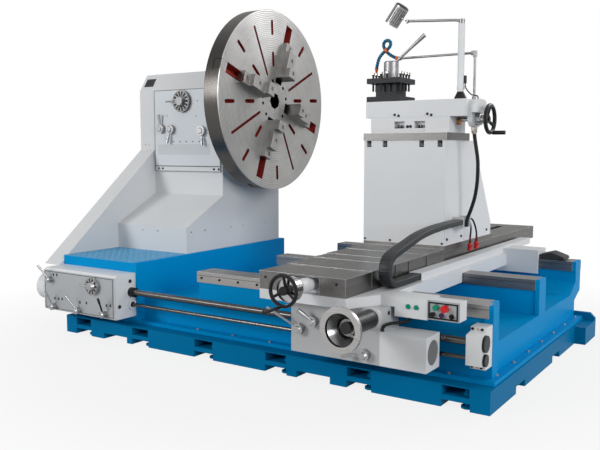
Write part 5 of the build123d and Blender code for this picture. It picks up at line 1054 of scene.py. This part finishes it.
def housing_details():
    """Screws of the headstock's housing and guard, and a bare plate on its chamfer."""
    side = [(HEAD_RIGHT, y, 712) for y in (-328, -170, 145, 300, 614, 753)]
    fasteners("housing_screws", "frame", cap_screw, HOUSING_SCREW, side, RIGHT, "zinc", "socket")
    front = [(x, -381, 711) for x in (-1430, -1269)] + [(x, HEAD_FACE, 1374) for x in (-1813, -1771)]
    fasteners("toe_screws", "frame", cap_screw, HOUSING_SCREW, front, FRONT, "zinc", "socket")
    slope = [(GUARD_MIDDLE, -239, 1057), (GUARD_MIDDLE, -555, 797)]
    fasteners("guard_screws", "frame", cap_screw, HOUSING_SCREW, slope, GUARD_SLOPE, "zinc", "socket")
    bm = bmesh.new()
    chamfer = face((GUARD_MIDDLE, 95, 1892), CHAMFER_SLOPE)
    slab(bm, oblong(-52, 52, -40, 40), 0, 1.5, chamfer, edge=0.5)
    border(bm, -46, 46, -34, 34, width=2, height=2.2, place=chamfer, finish=1)
    piece("bare_plate", "frame", bm, FINE["plate"], FINE["line"])


def chequer_plate():
    """Raised lozenges on the platform, which lean to either side by turns."""
    top = face((0, 0, PLATFORM_TOP), UP)
    first = Vector((-1672, -900))
    columns, rows = 23, 17
    pitch, half_length, half_width = 30, 13, 3.5
    bm = bmesh.new()
    for i in range(columns):
        for j in range(rows):
            centre = first + Vector((i, j)) * pitch
            lean = Vector((1, 1 if (i + j) % 2 else -1)).normalized()
            across = Vector((-lean.y, lean.x))
            outline = [centre + lean * half_length, centre + across * half_width, centre - lean * half_length,
                       centre - across * half_width]
            slab(bm, outline, low=0, high=1.8, place=top, edge=1.4)
    # Their lighter blue is partly wear and partly painted highlight.
    piece("chequer_lozenges", "frame", bm, FINE["tread"])


def gearbox_details():
    """Front-plate border, marks, dial marks and the plugs of the side."""
    front = face((0, GEAR_FRONT, 0), FRONT)
    bm = bmesh.new()
    border(bm, *GEAR_SPAN, *GEAR_RISE, width=3, height=1.2, place=front)
    for x, z in ((-1582, 440), (-1544, 442), (-1573, 270), (-1533, 271), (-1494, 274), (-1306, 270),
                 (-1239, 273), (-1037, 278), (-998, 281)):
        mark(bm, oblong(x - 7, x + 7, z - 9, z + 9), front)
    piece("gearbox_marks", "frame", bm, FINE["mark"])
    dial = face((FEED_DIAL_AT[0], GEAR_FRONT - FEED_DIAL_DEPTH, FEED_DIAL_AT[1]), FRONT)
    dial_marks("feed_dial", dial, FEED_DIAL_RADIUS, count=10)
    side = [(GEAR_SIDE, -975, 432), (GEAR_SIDE, -1075, 270)]
    fasteners("gearbox_plug", "frame", plug, GEARBOX_PLUG, side, RIGHT, "mark")


def bed_details():
    """Holding-down bolts, way screws and end-bracket bolts."""
    end = [(1555, y, 147) for y in (-780, -495, -225, 51, 315, 593, 883)]
    lip = [(-426 + 293 * i, -885, 147) for i in range(7)]
    fasteners("flange_bolts", "frame", hex_bolt, FLANGE_BOLT, end + lip, UP, "dull")
    ways = [(-421 + 152 * i, -850, 488) for i in range(12)]
    fasteners("way_screws", "frame", cap_screw, WAY_SCREW, ways, FRONT, "bolt", "socket")
    foot = [(x, -946, z) for x in (1481, 1531) for z in (224, 422)]
    fasteners("bracket_bolts", "frame", cap_screw, BRACKET_SCREW, foot, FRONT, "bolt", "socket")
    pins = [(1507, -946, z) for z in (224, 422)]
    fasteners("bracket_pins", "frame", plug, BRACKET_PIN, pins, FRONT, "brass")


def control_bezels():
    """Bezels round the controls and the signal lamps."""
    controls = {"start_button": 15, "stop_button": 18.5, "jog_button": 13, "reset_button": 13,
                "selector_switch": 13}
    bm = bmesh.new()
    for control, radius in controls.items():
        spot = middle(control)
        ring(bm, face((spot.x, SADDLE_FRONT, spot.z), FRONT), radius + 0.6, radius + 1.9, 2)
    for x, z in SIGNALS:
        ring(bm, face((x, SADDLE_FRONT, z), FRONT), SIGNAL_RADIUS + 0.2, SIGNAL_RADIUS + 3.5, 3)
    piece("button_bezels", "carriage", bm, FINE["zinc"])


def motor_grille():
    """Crossing wires over a black disc, painted shade for the dark opening in the motor cover."""
    radius, pitch, wire = 64.0, 10.0, 1.3
    place = face((COVER_RIGHT, *GRILLE), RIGHT)
    bm = bmesh.new()
    # The black disc under the wires is painted shade that stands for the depth behind the opening.
    spin(bm, [(0, -4.6), (radius, -4.6), (radius, -4.2), (0, -4.2)], place, sides=40, finish=1)
    for i in range(-6, 7):
        offset = i * pitch
        reach = math.sqrt(radius ** 2 - offset ** 2)
        slab(bm, oblong(-reach, reach, offset - wire, offset + wire), -4.2, -1.8, place, edge=0.5)
        slab(bm, oblong(offset - wire, offset + wire, -reach, reach), -3.6, -1.2, place, edge=0.5)
    piece("motor_grille", "carriage", bm, FINE["wire"], FINE["mark"])


def carriage_details():
    """Plugs of the carriage and the wiper of the rear way."""
    rail = [(849, -1245, 630), (391, -1245, 628)]
    fasteners("rail_plugs", "carriage", plug, RAIL_PLUG, rail, FRONT, "bolt")
    fasteners("apron_plug", "carriage", plug, APRON_PLUG, [(1059, -1058, 472)], RIGHT, "mark")
    bm = bmesh.new()
    outline = [(1263, 529), (1449, 536), (1441, 554), (1350, 585), (1267, 563)]
    slab(bm, outline, low=-145, high=0, place=face((0, WIPER_FRONT, 0), FRONT), edge=3)
    piece("way_wiper", "carriage", bm, FINE["wiper"])


def slide_details():
    """Bolts of the pedestal, the compound base and the top slide."""
    side = [(921, y, 743) for y in (43, 293, 794)]
    fasteners("pedestal_side_bolts", "cross_slide", cap_screw, SIDE_SCREW, side, RIGHT, "bolt", "socket")
    foot = [(x, 5, 718) for x in (335, 528, 905)]
    fasteners("pedestal_foot_bolts", "cross_slide", cap_screw, FOOT_SCREW, foot, FRONT, "bolt", "socket")
    window = [(x, 57, 1472.3) for x in (556, 578, 705, 727)]
    fasteners("window_bolts", "cross_slide", hex_bolt, WINDOW_BOLT, window, UP, "bolt")
    base = [(x, 40, 1484) for x in (630, 652)]
    fasteners("base_bolt", "cross_slide", hex_bolt, BASE_BOLT, base, FRONT, "bolt")
    gibs = [(x, 40, z) for x, z in ((534, 1564), (563, 1557), (772, 1565), (800, 1557))]
    fasteners("gib_screws", "compound_slide", hex_bolt, GIB_BOLT, gibs, FRONT, "bolt")


def lamp_details():
    """Lens and end cap of the work lamp."""
    bm = bmesh.new()
    spin(bm, [(0, 3.5), (20, 4.4), (34, 6), (41.5, 7.9), (0, 7.9)], face(LAMP_FOOT, LAMP_AXIS), sides=40)
    piece("lamp_lens", "lamp_head", bm, FINE["lens"])
    bm = bmesh.new()
    spin(bm, [(0, 0), (46, 0), (46, 3), (40, 8), (14, 9), (0, 9)], face(LAMP_TIP, LAMP_AXIS), sides=40)
    piece("lamp_cap", "lamp_head", bm, FINE["mark"])


def jaw_screw_ends():
    """Collars and square sockets of the jaw screws, in flats on the faceplate's edge."""
    reach = math.sqrt((FACE_RADIUS - JAW_SCREW_RECESS) ** 2 - CHANNEL_HALF_WIDTH ** 2)
    centre = Vector((FACE_FRONT - JAW_SCREW_DEPTH, SPINDLE.y, SPINDLE.z))
    bm = bmesh.new()
    for i in range(4):
        angle = math.radians(JAW_ANGLE + 90 * i)
        out = Vector((0, math.sin(angle), math.cos(angle)))
        place = face(centre + out * reach, out)
        spin(bm, [(13.5, 0), (13.5, 2), (10, 2)], place)
        spin(bm, [(10.5, 2), (9.5, 0.3), (0, 0.3)], place, sides=4, finish=1)
    piece("jaw_screw_ends", "spindle", bm, FINE["zinc"], FINE["socket"])


# Studio

def background_rays(tree, mirrored):
    """One for what the camera and glass see directly, and a given share for what mirrors see."""
    rays = node(tree, "ShaderNodeLightPath").outputs
    seen = maths(tree, "MAXIMUM", rays["Is Camera Ray"], rays["Is Transmission Ray"])
    return maths(tree, "MAXIMUM", seen, maths(tree, "MULTIPLY", rays["Is Glossy Ray"], mirrored))


def floor():
    """Pale floor, which keeps the shadow and fades to white."""
    mesh = bpy.data.meshes.new("floor")
    outline = oblong(-FLOOR_REACH, FLOOR_REACH, -FLOOR_REACH, FLOOR_REACH)
    mesh.from_pydata([(x, y, 0) for x, y in outline], [], [range(len(outline))])
    ground = add("floor", mesh)
    mat, tree, shader = blank("pale_floor")
    shader.inputs["Base Color"].default_value = FLOOR_GREY
    shader.inputs["Roughness"].default_value = FLOOR_ROUGH
    white = spread(tree, vectors(tree, "LENGTH", position(tree)), *FLOOR_WHITE, *FLOOR_FADE)
    share = maths(tree, "MULTIPLY", background_rays(tree, FLOOR_MIRROR), white)
    glow = node(tree, "ShaderNodeEmission", Color=WHITE, Strength=1.0)
    mix = node(tree, "ShaderNodeMixShader", {0: share, 1: shader.outputs[0], 2: glow.outputs[0]})
    tree.links.new(mix.outputs[0], tree.nodes["Material Output"].inputs["Surface"])
    mesh.materials.append(mat)


def surroundings():
    """White background, which lights the object softly and is darker in mirrors on one side."""
    world = bpy.data.worlds.new("studio")
    bpy.context.scene.world = world
    world.use_nodes = True
    tree = world.node_tree
    heading = node(tree, "ShaderNodeTexCoord").outputs["Generated"]
    lean = vectors(tree, "DOT_PRODUCT", heading, ROOM_LIGHT_SIDE)
    mirrored = spread(tree, lean, ROOM_DARK, 1.0, *ROOM_FADE)
    power = maths(tree, "MAXIMUM", background_rays(tree, mirrored), DIFFUSE_LIGHT)
    background = tree.nodes["Background"]
    tree.links.new(power, background.inputs["Strength"])
    background.inputs["Color"].default_value = WHITE


def aimed_lamps():
    """Soft lamps that point at the machine."""
    for name, (at, size, watts) in STUDIO_LAMPS.items():
        lamp = bpy.data.lights.new(name, "AREA")
        lamp.size = size
        lamp.energy = watts
        holder = add(name, lamp)
        holder.location = at
        aim = Vector(STUDIO_AIM) - Vector(at)
        holder.rotation_euler = aim.to_track_quat("-Z", "Y").to_euler()


def camera():
    """Camera at the photograph's viewing angle."""
    lens = bpy.data.cameras.new("camera")
    lens.lens = CAMERA_LENS
    holder = add("camera", lens)
    holder.location = CAMERA_AT
    holder.rotation_euler = (math.radians(90 - CAMERA_PITCH), 0, math.radians(CAMERA_TURN))
    bpy.context.scene.camera = holder


cables()
panel_details()
housing_details()
chequer_plate()
gearbox_details()
bed_details()
control_bezels()
motor_grille()
carriage_details()
slide_details()
lamp_details()
jaw_screw_ends()
floor()
surroundings()
aimed_lamps()
camera()
bpy.context.scene.view_settings.view_transform = "Standard"
